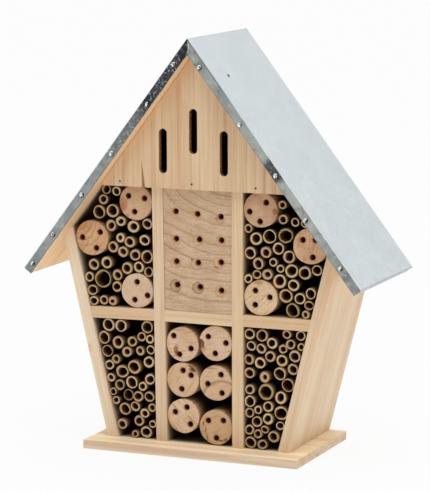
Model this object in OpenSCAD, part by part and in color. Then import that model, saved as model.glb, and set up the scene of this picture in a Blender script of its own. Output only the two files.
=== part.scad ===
// Insect hotel: a tapered pine case under a steep metal-clad roof. Four side
// compartments hold hollow canes, the middle holds drilled logs and a drilled
// block, and the loft behind the gable has three entry slots for butterflies.
// +X is to the right seen from the front, the front faces -Y, +Z is up and the
// origin is the middle of the space it stands on.

/* [Overall] */
// Width over the two eaves
total_w = 375; // [360:1:390]
// Height from the ground to the ridge
total_h = 431.5; // [420:0.5:440]
// Slope of the roof in degrees
roof_pitch = 52.5; // [52:0.1:53]

/* [Base board] */
// Width of the base board
base_w = 240; // [230:1:280]
// Thickness of the base board
base_t = 9; // [7:0.5:9]
// How far the base board stands out in front of the case
base_front = 26; // [10:1:40]

/* [Case] */
// Depth of the case, front to back
case_d = 117; // [112:1:140]
// Thickness of the walls, dividers and shelves
board_t = 12; // [10:0.5:12]
// Thickness of the back board and of the gable panel
panel_t = 6; // [4:0.5:8]
// Outer foot of the left wall, from the middle
left_foot = 103.8; // [103.5:0.1:110]
// Outward lean of the left wall in degrees
left_lean = 13.1; // [13.1:0.1:14]
// Outer foot of the right wall, from the middle
right_foot = 101.1; // [101:0.1:110]
// Outward lean of the right wall in degrees
right_lean = 14.4; // [14.4:0.1:15]

/* [Dividers and shelves] */
// Inner face of the left divider at its foot, from the middle
left_divider_x = 35.6; // [34:0.1:35.6]
// Outward lean of the left divider in degrees
left_divider_lean = 0.73; // [0.5:0.01:0.8]
// Inner face of the right divider, from the middle
right_divider_x = 38.2; // [38.2:0.1:38.6]
// Underside of the middle shelf
shelf_z = 136.2; // [136:0.1:136.4]
// How much lower the left shelf is at its outer end
left_shelf_drop = 1.4; // [0:0.1:2]
// How much higher the right shelf is fitted
right_shelf_rise = 0.8; // [0:0.1:1]
// Underside of the loft floor
ceiling_z = 277.5; // [277.5:0.5:280]
// Thickness of the loft floor
ceiling_t = 9; // [6:0.5:12]

/* [Roof] */
// Thickness of the roof boards
roof_board_t = 8.2; // [7:0.1:8.2]
// Thickness of the metal sheet
sheet_t = 0.8; // [0.5:0.1:1]
// Depth of the sheet's turned-down lips at the front and back
lip_h = 10; // [8:0.5:12]
// Roof overhang in front of the case
roof_front = 24; // [15:1:26]
// Roof overhang behind the case
roof_back = 15.7; // [5:0.1:30]

/* [Gable] */
// Lower edge of the gable panel
gable_z = 276; // [274:0.5:277]
// Width of a butterfly slot
slot_w = 9; // [7:0.5:10]
// Height of a butterfly slot
slot_h = 46; // [40:1:50]
// Distance between neighbouring slots
slot_pitch = 33.8; // [30:0.1:36]
// Lower end of the two outer slots
slot_z = 291.5; // [290:0.5:295]
// How much higher the middle slot is
slot_step = 21.3; // [15:0.1:25]

/* [Filling] */
// Length of the canes
cane_l = 100; // [80:1:104]
// Length of the drilled logs
log_l = 102; // [80:1:105]
// Depth of the drilled block
block_d = 104; // [90:1:108]
// Radius of the nest holes in the logs and the block
nest_r = 3; // [2:0.1:3.5]
// Depth of the nest holes
nest_depth = 85; // [60:1:95]

/* [Hidden] */
$fn = 48;
// Cuts run this far past a face, and wedged pieces stop this far short of one.
over = 1;
slack = 0.2;

nail_head_r = 2.3;
nail_head_h = 1.3;
nail_r = 0.8;
nail_l = 16;

// The front plane of the case, with the whole object centred on the origin. The
// nail heads of the rear lip reach furthest back.
front_y = (base_front - case_d - roof_back - nail_head_h) / 2;
back_y = front_y + case_d;
inner_back_y = back_y - panel_t;
eave_y = front_y - roof_front;
rear_eave_y = back_y + roof_back;

// The roof's two slopes, as lines that fall from the ridge at x = 0.
slope_l = total_w / 2 / cos(roof_pitch);
underside_top = total_h - (sheet_t + roof_board_t) / cos(roof_pitch);
function underside_x(z) = (underside_top - z) / tan(roof_pitch);

// A point s along the right slope from the ridge and d below its outer face.
function slope_point(s, d) = [
    s * cos(roof_pitch) - d * sin(roof_pitch),
    total_h - s * sin(roof_pitch) - d * cos(roof_pitch)
];
function ridge_point(d) = [0, total_h - d / cos(roof_pitch)];
function flipped(points) = [for (i = [len(points) - 1:-1:0]) [-points[i][0], points[i][1]]];

// Distance of a leaning face from the middle at height z, for a foot at base_t.
function lean_x(foot, lean, z) = foot + tan(lean) * (z - base_t);
function inner_foot(foot, lean) = foot - board_t / cos(lean);
left_in = inner_foot(left_foot, left_lean);
right_in = inner_foot(right_foot, right_lean);
function left_wall_x(z) = lean_x(left_in, left_lean, z);
function right_wall_x(z) = lean_x(right_in, right_lean, z);
function left_divider_face(z) = lean_x(left_divider_x, left_divider_lean, z);

// Height at which a leaning face meets the underside of the roof boards.
function lean_top(foot, lean) =
    (underside_top - tan(roof_pitch) * (foot - tan(lean) * base_t))
    / (1 + tan(roof_pitch) * tan(lean));

// Undersides and top faces of the shelves.
left_shelf_in = shelf_z - slack;
left_shelf_out = left_shelf_in - left_shelf_drop;
right_shelf_z = shelf_z + right_shelf_rise;

// Nails: [distance down the slope, depth below the outer face] on each lip.
left_lip_nails = [[30, 4.5], [81, 6.5], [147, 5.5], [203, 5.5], [258, 5], [298, 5.5]];
right_lip_nails = [[31, 7], [102, 6.5], [165, 5.7], [219, 6.5], [278, 5.2]];
// One nail pins the sheet to each roof board: distance down the slope, and back
// from the front edge.
sheet_nail = [49.5, 36];
sheet_nail_l = 6;
// The gable panel is nailed to the front edge of the loft floor.
gable_nails_at = [[-84.2, 281], [-3.4, 281.7], [67.1, 281]];
gable_nail_r = 0.7;
gable_nail_l = 20;
// The case is nailed through the base board and through the rim of the back.
base_nail_inset = 20;
base_nail_l = 22;
back_nail_l = 18;
back_nails_z = [60, 142, 240];

// The nest holes in the block: [x, z], four rows of three.
block_holes = [
    [-24.3, 252], [0, 250.5], [26, 249],
    [-24, 223.5], [2, 224.3], [26.5, 224.8],
    [-23.7, 200], [0.5, 200], [26, 202],
    [-23, 175.7], [2.5, 175], [26.3, 172.8]
];
block_recess = 1;

// The drilled logs: name, centre [x, z], diameter, and three holes [x, z].
log_recess = 2;
logs = [
    ["upper_left_log_1", [-70.3, 258.5], 37.2, [[-78.5, 265], [-60.3, 263.3], [-71.7, 248.8]]],
    ["upper_left_log_2", [-121, 218.7], 37.2, [[-132, 218.7], [-111.5, 225.3], [-116, 208.2]]],
    ["upper_left_log_3", [-69.3, 166], 36.4, [[-69.5, 175.3], [-57.7, 161.8], [-72.3, 156.4]]],
    ["upper_right_log_1", [69, 258.3], 37, [[75.2, 266], [57, 255.8], [68.4, 246.3]]],
    ["upper_right_log_2", [123, 224], 37.2, [[115, 230.2], [125.7, 213], [128.5, 230.8]]],
    ["upper_right_log_3", [69, 167.7], 36.8, [[63.2, 175], [79, 169], [63, 160.2]]],
    ["lower_log_1", [-18.4, 113.2], 36.6, [[-28.3, 121.5], [-8.8, 109.3], [-21.8, 102.3]]],
    ["lower_log_2", [-18.1, 75.7], 36.4, [[-17.8, 85.7], [-8.8, 81.2], [-19.3, 66]]],
    ["lower_log_3", [-17.7, 37.3], 36.4, [[-27, 41], [-13.7, 47], [-9.8, 29.3]]],
    ["lower_log_4", [19, 116.8], 37, [[10.7, 123.4], [30.5, 118], [18.5, 106.3]]],
    ["lower_log_5", [19.2, 75], 37, [[24.8, 84.5], [10, 73.7], [25.8, 65.2]]],
    ["lower_log_6", [19, 28.4], 37, [[10.5, 35], [27.3, 36.3], [19.5, 17.2]]]
];

// The canes, in bundles laid from the bottom up: x, z, diameter and bore. The
// two widest stand apart, each on its own.
cane_recess = 2;
canes = [
    ["upper_left_canes_1", [
        [-119.4, 152.2, 10.4, 5.8], [-108.7, 153.3, 10.4, 5.3], [-98, 153.2, 10.4, 3.6],
        [-121.1, 163.4, 11.6, 7.2], [-93.2, 168.7, 11.6, 6.2]]],
    ["upper_left_canes_2", [
        [-124.5, 177.3, 10.4, 5.8], [-92.7, 181, 12, 5.8],
        [-119.5, 190.5, 12.2, 6], [-104.3, 193.6, 13, 6.7]]],
    ["upper_left_canes_3", [
        [-80.7, 189, 12.8, 6.6], [-68, 190.6, 12.2, 6], [-56.3, 186.3, 11, 6.7],
        [-58, 202.3, 13.8, 8.8], [-72, 203.3, 12.4, 6.5]]],
    ["upper_left_canes_4", [
        [-85.5, 206, 12, 5.6], [-97.2, 210.2, 12.4, 6], [-61, 219.5, 11.8, 6.3],
        [-77.5, 216.6, 12.2, 6.3], [-88.7, 220.2, 10.6, 4]]],
    ["upper_left_canes_5", [
        [-57.3, 236.6, 11.6, 6.5], [-74, 232.8, 13.6, 6.5], [-99.3, 232.8, 12.4, 5.8],
        [-87.7, 238, 11, 4.8]]],
    ["upper_left_canes_6", [
        [-97, 248.3, 14.2, 8.6], [-113, 246.4, 14.4, 9], [-107.7, 259.7, 10.8, 5.5],
        [-92.2, 269.3, 10, 5.5], [-104.5, 270.6, 10.4, 6.5]]],
    ["upper_right_canes_1", [
        [118.3, 153.7, 9, 3.8], [103.7, 156.8, 15, 9.7], [121.4, 163.3, 10.4, 6.5],
        [112, 169.8, 12, 7.3], [96, 171.2, 14.8, 8.7]]],
    ["upper_right_canes_2", [
        [123.6, 175.8, 11.6, 7.4], [104.5, 182.7, 12.6, 7], [89.4, 186, 14.8, 8],
        [55.4, 186.8, 9.6, 4.8], [64.4, 191.2, 10, 5.3]]],
    ["upper_right_canes_3", [
        [76.3, 192.2, 11.8, 5], [90, 199, 8.8, 4.5], [102.5, 197.4, 14.4, 8.4],
        [117.2, 196.5, 13.8, 8.3], [129.8, 199.6, 11.2, 7.2]]],
    ["upper_right_canes_4", [
        [66.3, 203, 12.4, 6.6], [82.3, 205, 9.4, 5], [99.7, 211.7, 13.4, 7.6],
        [74.7, 215, 12.2, 6.2], [57, 213.2, 13, 7.6]]],
    ["upper_right_canes_5", [
        [88.3, 219.8, 13, 7.6], [63.5, 228, 13.8, 7.5], [78.5, 231.3, 14.8, 10.3],
        [96.3, 233.3, 15.8, 10.6]]],
    ["upper_right_canes_6", [
        [55.3, 238.5, 9.6, 5], [106, 247.3, 9.2, 5.2], [93.3, 249.8, 10.4, 5.3],
        [117.4, 246.8, 9, 4.8], [92, 264.3, 9.2, 4.4]]],
    ["lower_left_canes_1", [
        [-73, 13.5, 8.2, 4], [-60.9, 16, 13, 7], [-88.4, 22.7, 12, 6],
        [-52.9, 25.6, 8.4, 4.6], [-69, 27.6, 11.8, 6.2]]],
    ["lower_left_canes_2", [
        [-62, 36.5, 10.4, 5.2], [-85.3, 39, 13.4, 8], [-73, 42.7, 10.8, 5.8],
        [-53.5, 43, 9.4, 4.8], [-95.6, 47.3, 9.2, 4.6]]],
    ["lower_left_canes_3", [
        [-69.2, 53.7, 11.6, 6.6], [-81.1, 54.3, 12, 9.6], [-56.7, 54.4, 11.6, 6.8],
        [-98.3, 56.9, 8.2, 5], [-91.3, 64.2, 11.8, 6.6]]],
    ["lower_left_canes_4", [
        [-64, 65, 10, 5.2], [-77.3, 68, 13.8, 8.6], [-101, 71.4, 9.6, 4.4],
        [-55.7, 73.2, 11.8, 6.6], [-88.2, 78.8, 14.4, 8.4]]],
    ["lower_left_canes_5", [
        [-73.5, 84.8, 15.2, 8.8], [-102.7, 84.8, 10.6, 5.8], [-57, 91.2, 12.6, 6.8],
        [-94.6, 91.6, 10, 4.6], [-105.2, 99.4, 12.8, 9.3]]],
    ["lower_left_canes_6", [
        [-82, 100.3, 11.6, 5.4], [-55.2, 104.3, 10, 6], [-67, 102.3, 10.2, 4.6],
        [-92, 109.6, 13.6, 7.2], [-76.5, 111.4, 11.4, 5.8], [-108.6, 113.7, 14, 8.7]]],
    ["lower_left_canes_7", [
        [-55.3, 115.6, 9.8, 5], [-65.4, 117.3, 10.2, 5.6], [-58.8, 128.2, 13.6, 8.8],
        [-88.6, 127.7, 13.4, 8.2], [-103.3, 127.4, 13.8, 8.2]]],
    ["lower_right_canes_1", [
        [70.7, 14.9, 10.8, 6], [57.2, 15.9, 12.8, 7.6], [83, 24, 12.6, 6.8],
        [65.9, 25.7, 9.6, 5.2], [55.9, 29.1, 10.8, 6]]],
    ["lower_right_canes_2", [
        [73.5, 31, 8.6, 4.8], [89.9, 36, 9.2, 5.6], [64.7, 38.3, 11.6, 7],
        [77, 42.3, 12.2, 6.2], [55.9, 47, 10.8, 6]]],
    ["lower_right_canes_3", [
        [66, 51, 9, 4.8], [91, 49.4, 15, 9.8], [77, 55, 11.8, 6.6],
        [56.9, 59.3, 12.4, 7.8], [90.5, 65.3, 13.6, 7]]],
    ["lower_right_canes_4", [
        [57, 71.7, 11, 5.8], [98.4, 79.1, 14.2, 10],
        [73, 85.6, 12, 4], [56.4, 88.9, 11.8, 6.4]]],
    ["lower_right_canes_5", [
        [90.2, 90.7, 13.4, 8.7], [103.8, 96, 12.2, 6.6], [67.9, 100.1, 12.2, 6.4],
        [56.1, 102.9, 11.4, 6.2], [91.8, 104, 12.6, 6.6]]],
    ["lower_right_canes_6", [
        [106.5, 110, 12.8, 7.4], [79, 107.5, 12, 6.4], [69.3, 114.9, 10.8, 5.6],
        [58.6, 117.1, 10.2, 6.2], [93, 116.3, 10, 5], [112.9, 120, 8.2, 4.4]]],
    ["lower_right_canes_7", [
        [101.7, 121.8, 10.4, 5.6], [81, 121.3, 12, 6.4], [112.7, 131.5, 10.4, 6.4],
        [97.7, 132, 9.8, 5.2], [70, 128.5, 13.2, 8.2], [56.5, 129.3, 11.8, 6.8]]],
    ["upper_left_wide_cane", [[-109, 176.2, 19.4, 14.4]]],
    ["lower_right_wide_cane", [[75, 70.5, 17.4, 10.8]]]
];

pine = [0.90, 0.76, 0.57];
gable_pine = [0.92, 0.75, 0.52];
end_grain = [0.86, 0.71, 0.52];
log_wood = [0.88, 0.72, 0.55];
cane_skin = [0.78, 0.68, 0.45];
zinc = [0.72, 0.76, 0.77];
nail_steel = [0.85, 0.86, 0.86];

// A board whose outline is drawn in the XZ plane and which runs from y0 to y1.
module board(points, y0, y1) {
    translate([0, y1, 0]) rotate([90, 0, 0]) linear_extrude(y1 - y0) polygon(points);
}

// A round bar along Y, from y0 back to y1.
module bar(x, z, r, y0, y1) {
    translate([x, y0, z]) rotate([-90, 0, 0]) cylinder(r = r, h = y1 - y0);
}

// A nail that is driven along +Z from the origin, with its domed head below it.
module nail(shank_r, shank_l, head_r, head_h) {
    cylinder(r = shank_r, h = shank_l);
    rotate_extrude() polygon(concat(
        [[0, 0], [head_r, 0]],
        [for (a = [15:15:75]) [head_r * cos(a), -head_h * sin(a)]],
        [[0, -head_h]]
    ));
}

// Puts its children at each lip nail, with +Z into the board's end. mirrored is
// 1 on the left slope and 0 on the right.
module at_lip_nails(spots, mirrored) {
    for (spot = spots) {
        at = slope_point(spot[0], spot[1]);
        mirror([mirrored, 0, 0]) translate([at[0], 0, at[1]]) children();
    }
}

module lip_nail_shanks(spots, mirrored) {
    at_lip_nails(spots, mirrored) translate([0, eave_y, 0]) rotate([-90, 0, 0])
        cylinder(r = nail_r, h = nail_l);
    at_lip_nails(spots, mirrored) translate([0, rear_eave_y, 0]) rotate([90, 0, 0])
        cylinder(r = nail_r, h = nail_l);
}

// Puts its children at the nail on top of each slope, with +Z into the board.
module at_sheet_nails() {
    at = slope_point(sheet_nail[0], 0);
    for (side = [0, 1]) mirror([side, 0, 0])
        translate([at[0], eave_y + sheet_nail[1], at[1]])
            rotate([0, 180 + roof_pitch, 0]) children();
}

module gable_nail_shanks() {
    for (spot = gable_nails_at)
        bar(spot[0], spot[1], gable_nail_r, front_y - panel_t, front_y - panel_t + gable_nail_l);
}

// Puts its children on the underside of the base board, below each upright.
module at_base_nails() {
    middles = [
        -(left_foot + left_in) / 2, -(left_divider_x + board_t / 2),
        right_divider_x + board_t / 2, (right_foot + right_in) / 2
    ];
    for (x = middles) for (y = [front_y + base_nail_inset, back_y - base_nail_inset])
        translate([x, y, 0]) children();
}

// Puts its children on the back face, over the edge of each shelf and the loft
// floor, with +Z pointing forwards.
module at_back_nails() {
    spots = [
        [-90, left_shelf_in - left_shelf_drop / 2 + board_t / 2], [0, shelf_z + board_t / 2],
        [85, right_shelf_z + board_t / 2], [-60, ceiling_z + ceiling_t / 2],
        [60, ceiling_z + ceiling_t / 2], [-left_divider_face(70) - board_t / 2, 70],
        [-left_divider_face(210) - board_t / 2, 210], [right_divider_x + board_t / 2, 70],
        [right_divider_x + board_t / 2, 210]
    ];
    for (spot = spots) translate([spot[0], back_y, spot[1]]) rotate([90, 0, 0]) children();
}

module back_nail_shanks() {
    at_back_nails() cylinder(r = gable_nail_r, h = back_nail_l);
}

module base_nail_shanks() {
    at_base_nails() cylinder(r = nail_r, h = base_nail_l);
}

module base_board() {
    color(pine) difference() {
        translate([-base_w / 2, front_y - base_front, 0])
            cube([base_w, base_front + case_d, base_t]);
        base_nail_shanks();
        // Countersinks keep the nail heads off the ground.
        at_base_nails() translate([0, 0, -over])
            cylinder(r = nail_head_r + slack, h = over + nail_head_h + slack);
    }
}

// The outline of a leaning wall on the right-hand side.
function wall_outline(foot, inner, lean) = [
    [inner, base_t], [foot, base_t],
    [underside_x(lean_top(foot, lean)), lean_top(foot, lean)],
    [underside_x(lean_top(inner, lean)), lean_top(inner, lean)]
];

module left_wall() {
    color(pine) difference() {
        board(flipped(wall_outline(left_foot, left_in, left_lean)), front_y, back_y);
        base_nail_shanks();
    }
}

module right_wall() {
    color(pine) difference() {
        board(wall_outline(right_foot, right_in, right_lean), front_y, back_y);
        base_nail_shanks();
    }
}

module left_divider() {
    outline = [
        [left_divider_face(base_t), base_t], [left_divider_face(base_t) + board_t, base_t],
        [left_divider_face(ceiling_z) + board_t, ceiling_z], [left_divider_face(ceiling_z), ceiling_z]
    ];
    color(pine) difference() {
        board(flipped(outline), front_y, inner_back_y);
        base_nail_shanks();
        back_nail_shanks();
    }
}

module right_divider() {
    color(pine) difference() {
        translate([right_divider_x, front_y, base_t])
            cube([board_t, case_d - panel_t, ceiling_z - base_t]);
        base_nail_shanks();
        back_nail_shanks();
    }
}

module left_shelf() {
    outer_z = left_shelf_out;
    inner_z = left_shelf_in;
    color(pine) difference() {
        board([
            [-left_wall_x(outer_z), outer_z],
            [-left_divider_face(inner_z) - board_t, inner_z],
            [-left_divider_face(inner_z + board_t) - board_t, inner_z + board_t],
            [-left_wall_x(outer_z + board_t), outer_z + board_t]
        ], front_y, inner_back_y);
        back_nail_shanks();
    }
}

module middle_shelf() {
    color(pine) difference() {
        board([
            [-left_divider_face(shelf_z), shelf_z], [right_divider_x, shelf_z],
            [right_divider_x, shelf_z + board_t], [-left_divider_face(shelf_z + board_t), shelf_z + board_t]
        ], front_y, inner_back_y);
        back_nail_shanks();
    }
}

module right_shelf() {
    low = right_shelf_z;
    high = low + board_t;
    color(pine) difference() {
        board([
            [right_divider_x + board_t, low], [right_wall_x(low), low],
            [right_wall_x(high), high], [right_divider_x + board_t, high]
        ], front_y, inner_back_y);
        back_nail_shanks();
    }
}

// The loft floor, with its ends bevelled to lie against the roof boards.
module ceiling_board() {
    low = ceiling_z;
    high = low + ceiling_t;
    color(pine) difference() {
        board([
            [-underside_x(low), low], [underside_x(low), low],
            [underside_x(high), high], [-underside_x(high), high]
        ], front_y, inner_back_y);
        gable_nail_shanks();
        back_nail_shanks();
    }
}

module back_board() {
    left_top = lean_top(left_in, left_lean);
    right_top = lean_top(right_in, right_lean);
    color(pine) difference() {
        board([
            [-left_wall_x(base_t), base_t], [right_wall_x(base_t), base_t],
            [right_wall_x(right_top), right_top], [0, underside_top],
            [-left_wall_x(left_top), left_top]
        ], inner_back_y, back_y);
        back_nail_shanks();
    }
}

// An upright slot with round ends, centred on x, from z upwards.
module slot(x, z) {
    r = slot_w / 2;
    y0 = front_y - panel_t - over;
    y1 = front_y + over;
    bar(x, z + r, r, y0, y1);
    bar(x, z + slot_h - r, r, y0, y1);
    translate([x - r, y0, z + r]) cube([slot_w, y1 - y0, slot_h - slot_w]);
}

module gable_panel() {
    middle = -1.5;
    color(gable_pine) difference() {
        board([
            [-underside_x(gable_z), gable_z], [underside_x(gable_z), gable_z], [0, underside_top]
        ], front_y - panel_t, front_y);
        slot(middle - slot_pitch, slot_z);
        slot(middle, slot_z + slot_step);
        slot(middle + slot_pitch, slot_z);
        gable_nail_shanks();
    }
}

// The outline of the right roof board, from the ridge to the eave.
roof_board_outline = [
    ridge_point(sheet_t), ridge_point(sheet_t + roof_board_t),
    slope_point(slope_l - sheet_t, sheet_t + roof_board_t), slope_point(slope_l - sheet_t, sheet_t)
];

module left_roof_board() {
    color(pine) difference() {
        board(flipped(roof_board_outline), eave_y + sheet_t, rear_eave_y - sheet_t);
        lip_nail_shanks(left_lip_nails, 1);
        at_sheet_nails() cylinder(r = nail_r, h = sheet_nail_l);
    }
}

module right_roof_board() {
    color(pine) difference() {
        board(roof_board_outline, eave_y + sheet_t, rear_eave_y - sheet_t);
        lip_nail_shanks(right_lip_nails, 0);
        at_sheet_nails() cylinder(r = nail_r, h = sheet_nail_l);
    }
}

// A band of metal under the roof's outline, from the outer face down to depth d.
module chevron(d, y0, y1) {
    board(concat(
        flipped([ridge_point(0), slope_point(slope_l, 0)]),
        [slope_point(slope_l, 0), slope_point(slope_l, d), ridge_point(d)],
        flipped([slope_point(slope_l, d)])
    ), y0, y1);
}

// One folded sheet: both slopes, a lip at the front and back, a fold at the eaves.
module roof_sheet() {
    fold = [
        slope_point(slope_l - sheet_t, 0), slope_point(slope_l, 0),
        slope_point(slope_l, sheet_t + roof_board_t), slope_point(slope_l - sheet_t, sheet_t + roof_board_t)
    ];
    color(zinc) difference() {
        union() {
            chevron(sheet_t, eave_y, rear_eave_y);
            chevron(lip_h, eave_y, eave_y + sheet_t);
            chevron(lip_h, rear_eave_y - sheet_t, rear_eave_y);
            board(fold, eave_y, rear_eave_y);
            board(flipped(fold), eave_y, rear_eave_y);
        }
        lip_nail_shanks(left_lip_nails, 1);
        lip_nail_shanks(right_lip_nails, 0);
        at_sheet_nails() cylinder(r = nail_r, h = sheet_nail_l);
    }
}

module lip_nails() {
    color(nail_steel) for (side = [[left_lip_nails, 1], [right_lip_nails, 0]]) {
        at_lip_nails(side[0], side[1]) translate([0, eave_y, 0]) rotate([-90, 0, 0])
            nail(nail_r, nail_l, nail_head_r, nail_head_h);
        at_lip_nails(side[0], side[1]) translate([0, rear_eave_y, 0]) rotate([90, 0, 0])
            nail(nail_r, nail_l, nail_head_r, nail_head_h);
    }
}

module sheet_nails() {
    color(nail_steel) at_sheet_nails() nail(nail_r, sheet_nail_l, 1.6, 0.6);
}

module gable_nails() {
    color("dimgray") for (spot = gable_nails_at)
        bar(spot[0], spot[1], gable_nail_r, front_y - panel_t, front_y - panel_t + gable_nail_l);
}

module base_nails() {
    color(nail_steel) at_base_nails() translate([0, 0, nail_head_h])
        nail(nail_r, base_nail_l - nail_head_h, nail_head_r, nail_head_h);
}

module back_nails() {
    color("dimgray") at_back_nails() cylinder(r = gable_nail_r, h = back_nail_l);
}

// A solid block wedged between the dividers, drilled from the front.
module drilled_block() {
    low = shelf_z + board_t;
    high = ceiling_z - slack;
    y0 = front_y + block_recess;
    color(end_grain) difference() {
        board([
            [-left_divider_face(low) + slack, low], [right_divider_x - slack, low],
            [right_divider_x - slack, high], [-left_divider_face(high) + slack, high]
        ], y0, y0 + block_d);
        for (hole = block_holes) bar(hole[0], hole[1], nest_r, y0 - over, y0 + nest_depth);
    }
}

module drilled_log(log) {
    y0 = front_y + log_recess;
    color(log_wood) difference() {
        bar(log[1][0], log[1][1], log[2] / 2, y0, y0 + log_l);
        for (hole = log[3]) bar(hole[0], hole[1], nest_r, y0 - over, y0 + nest_depth);
    }
}

// Hollow canes, each closed at the back by one of its own joints. Their mouths
// are not quite level with each other.
module cane_bundle(bundle) {
    joint_t = 8;
    uneven = 0.7;
    color(cane_skin) for (i = [0:len(bundle) - 1]) {
        cane = bundle[i];
        y0 = front_y + cane_recess + uneven * (i * 2 % 3);
        difference() {
            bar(cane[0], cane[1], cane[2] / 2, y0, y0 + cane_l);
            bar(cane[0], cane[1], cane[3] / 2, y0 - over, y0 + cane_l - joint_t);
        }
    }
}

base_board();
left_wall();
right_wall();
left_divider();
right_divider();
left_shelf();
middle_shelf();
right_shelf();
ceiling_board();
back_board();
gable_panel();
left_roof_board();
right_roof_board();
roof_sheet();
lip_nails();
sheet_nails();
gable_nails();
base_nails();
back_nails();
drilled_block();
for (log = logs) drilled_log(log);
for (bundle = canes) cane_bundle(bundle[1]);
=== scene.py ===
# Insect hotel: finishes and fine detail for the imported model, in metres.
import math

import bmesh
import bpy
import numpy as np
from mathutils import Matrix, Vector, noise


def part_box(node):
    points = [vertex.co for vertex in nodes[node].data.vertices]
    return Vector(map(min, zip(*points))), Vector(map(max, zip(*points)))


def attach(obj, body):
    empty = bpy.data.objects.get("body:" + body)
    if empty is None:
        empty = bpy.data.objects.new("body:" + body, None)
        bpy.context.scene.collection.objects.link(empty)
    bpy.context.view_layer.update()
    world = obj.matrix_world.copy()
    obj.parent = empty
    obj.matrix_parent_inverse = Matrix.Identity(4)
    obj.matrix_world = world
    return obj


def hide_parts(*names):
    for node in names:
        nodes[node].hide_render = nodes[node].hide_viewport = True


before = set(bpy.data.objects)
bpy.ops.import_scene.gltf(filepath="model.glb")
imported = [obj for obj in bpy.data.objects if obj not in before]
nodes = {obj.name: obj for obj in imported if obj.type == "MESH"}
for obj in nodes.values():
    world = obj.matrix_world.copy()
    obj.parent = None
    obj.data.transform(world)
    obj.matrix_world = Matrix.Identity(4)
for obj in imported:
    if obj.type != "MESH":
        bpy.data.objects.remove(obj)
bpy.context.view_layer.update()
mm = 0.001
roofPitch = math.radians(52.5)
quarterTurn = math.radians(90)

cameraRig = {
    "place": (1.0356, -2.4142, 0.6252),
    "right": (0.91874, 0.39485, -0.00355),
    "up": (-0.05841, 0.14480, 0.98773),
    "lens": 186.85,
}

studio = {
    "skyColour": (0.973, 0.973, 0.973),
    # light from the sky: at the horizon, added overhead, and how fast it rises
    "skyLight": (0.0, 2.4, 2.5),
    "floorColour": (0.06, 0.06, 0.06),
    "floorGlow": 0.915,
    "floorLight": 1.12,
    "floorReach": 40.0,
    # name: place, size, power, colour
    "lamps": {
        "highLamp": ((0.95, -1.15, 2.4), 1.3, 12.0, (1.0, 0.985, 0.965)),
        "rightLamp": ((2.4, -0.7, 0.7), 1.0, 7.0, (1.0, 0.985, 0.96)),
        "leftLamp": ((-1.5, -2.2, 0.9), 0.5, 2.5, (1.0, 0.985, 0.96)),
    },
    "aim": (0.0, 0.0, 0.2),
}


def isSocket(value):
    return isinstance(value, bpy.types.NodeSocket)


def treeOf(*values):
    return next(value.id_data for value in values if isSocket(value))


def connect(node, values):
    # a socket is linked, and anything else becomes the input's own value
    for key, value in values.items():
        socket = node.inputs[key]
        if isSocket(value):
            node.id_data.links.new(value, socket)
        elif socket.type == "RGBA":
            socket.default_value = (*value[:3], 1.0)
        else:
            socket.default_value = value


def addNode(tree, kind, values=None, **options):
    node = tree.nodes.new(kind)
    for key, value in options.items():
        setattr(node, key, value)
    connect(node, values or {})
    return node


def calc(operation, *values, clamp=False):
    node = addNode(treeOf(*values), "ShaderNodeMath", dict(enumerate(values)),
                   operation=operation, use_clamp=clamp)
    return node.outputs[0]


def plus(first, second, **options):
    return calc("ADD", first, second, **options)


def minus(first, second, **options):
    return calc("SUBTRACT", first, second, **options)


def times(first, second, **options):
    return calc("MULTIPLY", first, second, **options)


def over(first, second, **options):
    return calc("DIVIDE", first, second, **options)


def hypot(first, second):
    return calc("SQRT", plus(times(first, first), times(second, second)))


def vecCalc(operation, first, second=(0, 0, 0), scale=1.0):
    values = {0: first, 1: second}
    if operation == "SCALE":
        values["Scale"] = scale
    node = addNode(treeOf(first, second, scale), "ShaderNodeVectorMath", values,
                   operation=operation)
    return node.outputs["Value" if operation == "LENGTH" else "Vector"]


def axes(place):
    return addNode(treeOf(place), "ShaderNodeSeparateXYZ", {0: place}).outputs


def ramp(value, low, high, outLow=0.0, outHigh=1.0, smooth=True):
    values = {"Value": value, "From Min": low, "From Max": high,
              "To Min": outLow, "To Max": outHigh}
    return addNode(treeOf(value), "ShaderNodeMapRange", values,
                   interpolation_type="SMOOTHSTEP" if smooth else "LINEAR").outputs["Result"]


def blend(factor, first, second, mode="MIX"):
    node = addNode(treeOf(factor, first, second), "ShaderNodeMix", {0: factor, 6: first, 7: second},
                   data_type="RGBA", blend_type=mode)
    return node.outputs[2]


def blendAll(base, steps):
    # each step lays a colour over the base by a factor
    for factor, colour in steps:
        base = blend(factor, base, colour)
    return base


def shadeBy(base, value):
    grey = addNode(treeOf(value), "ShaderNodeCombineColor", {0: value, 1: value, 2: value})
    return blend(1.0, base, grey.outputs[0], mode="MULTIPLY")


def noiseAt(place, scale, detail, seed=None, stretch=None, output="Fac", **more):
    # stretch scales the place along each axis, and a seed picks another pattern
    if stretch is not None:
        place = vecCalc("MULTIPLY", place, stretch)
    values = {"Vector": place, "Scale": scale, "Detail": detail, **more}
    options = {}
    if seed is not None:
        values["W"] = seed
        options["noise_dimensions"] = "4D"
    return addNode(treeOf(place), "ShaderNodeTexNoise", values, **options).outputs[output]


def jitter(colour, scale):
    return vecCalc("SCALE", vecCalc("SUBTRACT", colour, (0.5, 0.5, 0.5)), scale=scale)


def newGroup(name, inputs, outputs):
    # inputs: label and starting value, None for a plain vector; outputs: labels
    group = bpy.data.node_groups.new(name, "ShaderNodeTree")
    for label, start in inputs.items():
        kind = "NodeSocketFloat" if isinstance(start, float) else "NodeSocketVector"
        socket = group.interface.new_socket(label, in_out="INPUT", socket_type=kind)
        if start is not None:
            socket.default_value = start
    for label in outputs:
        group.interface.new_socket(label, in_out="OUTPUT", socket_type="NodeSocketFloat")
    return group, group.nodes.new("NodeGroupInput").outputs, group.nodes.new("NodeGroupOutput")


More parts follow.
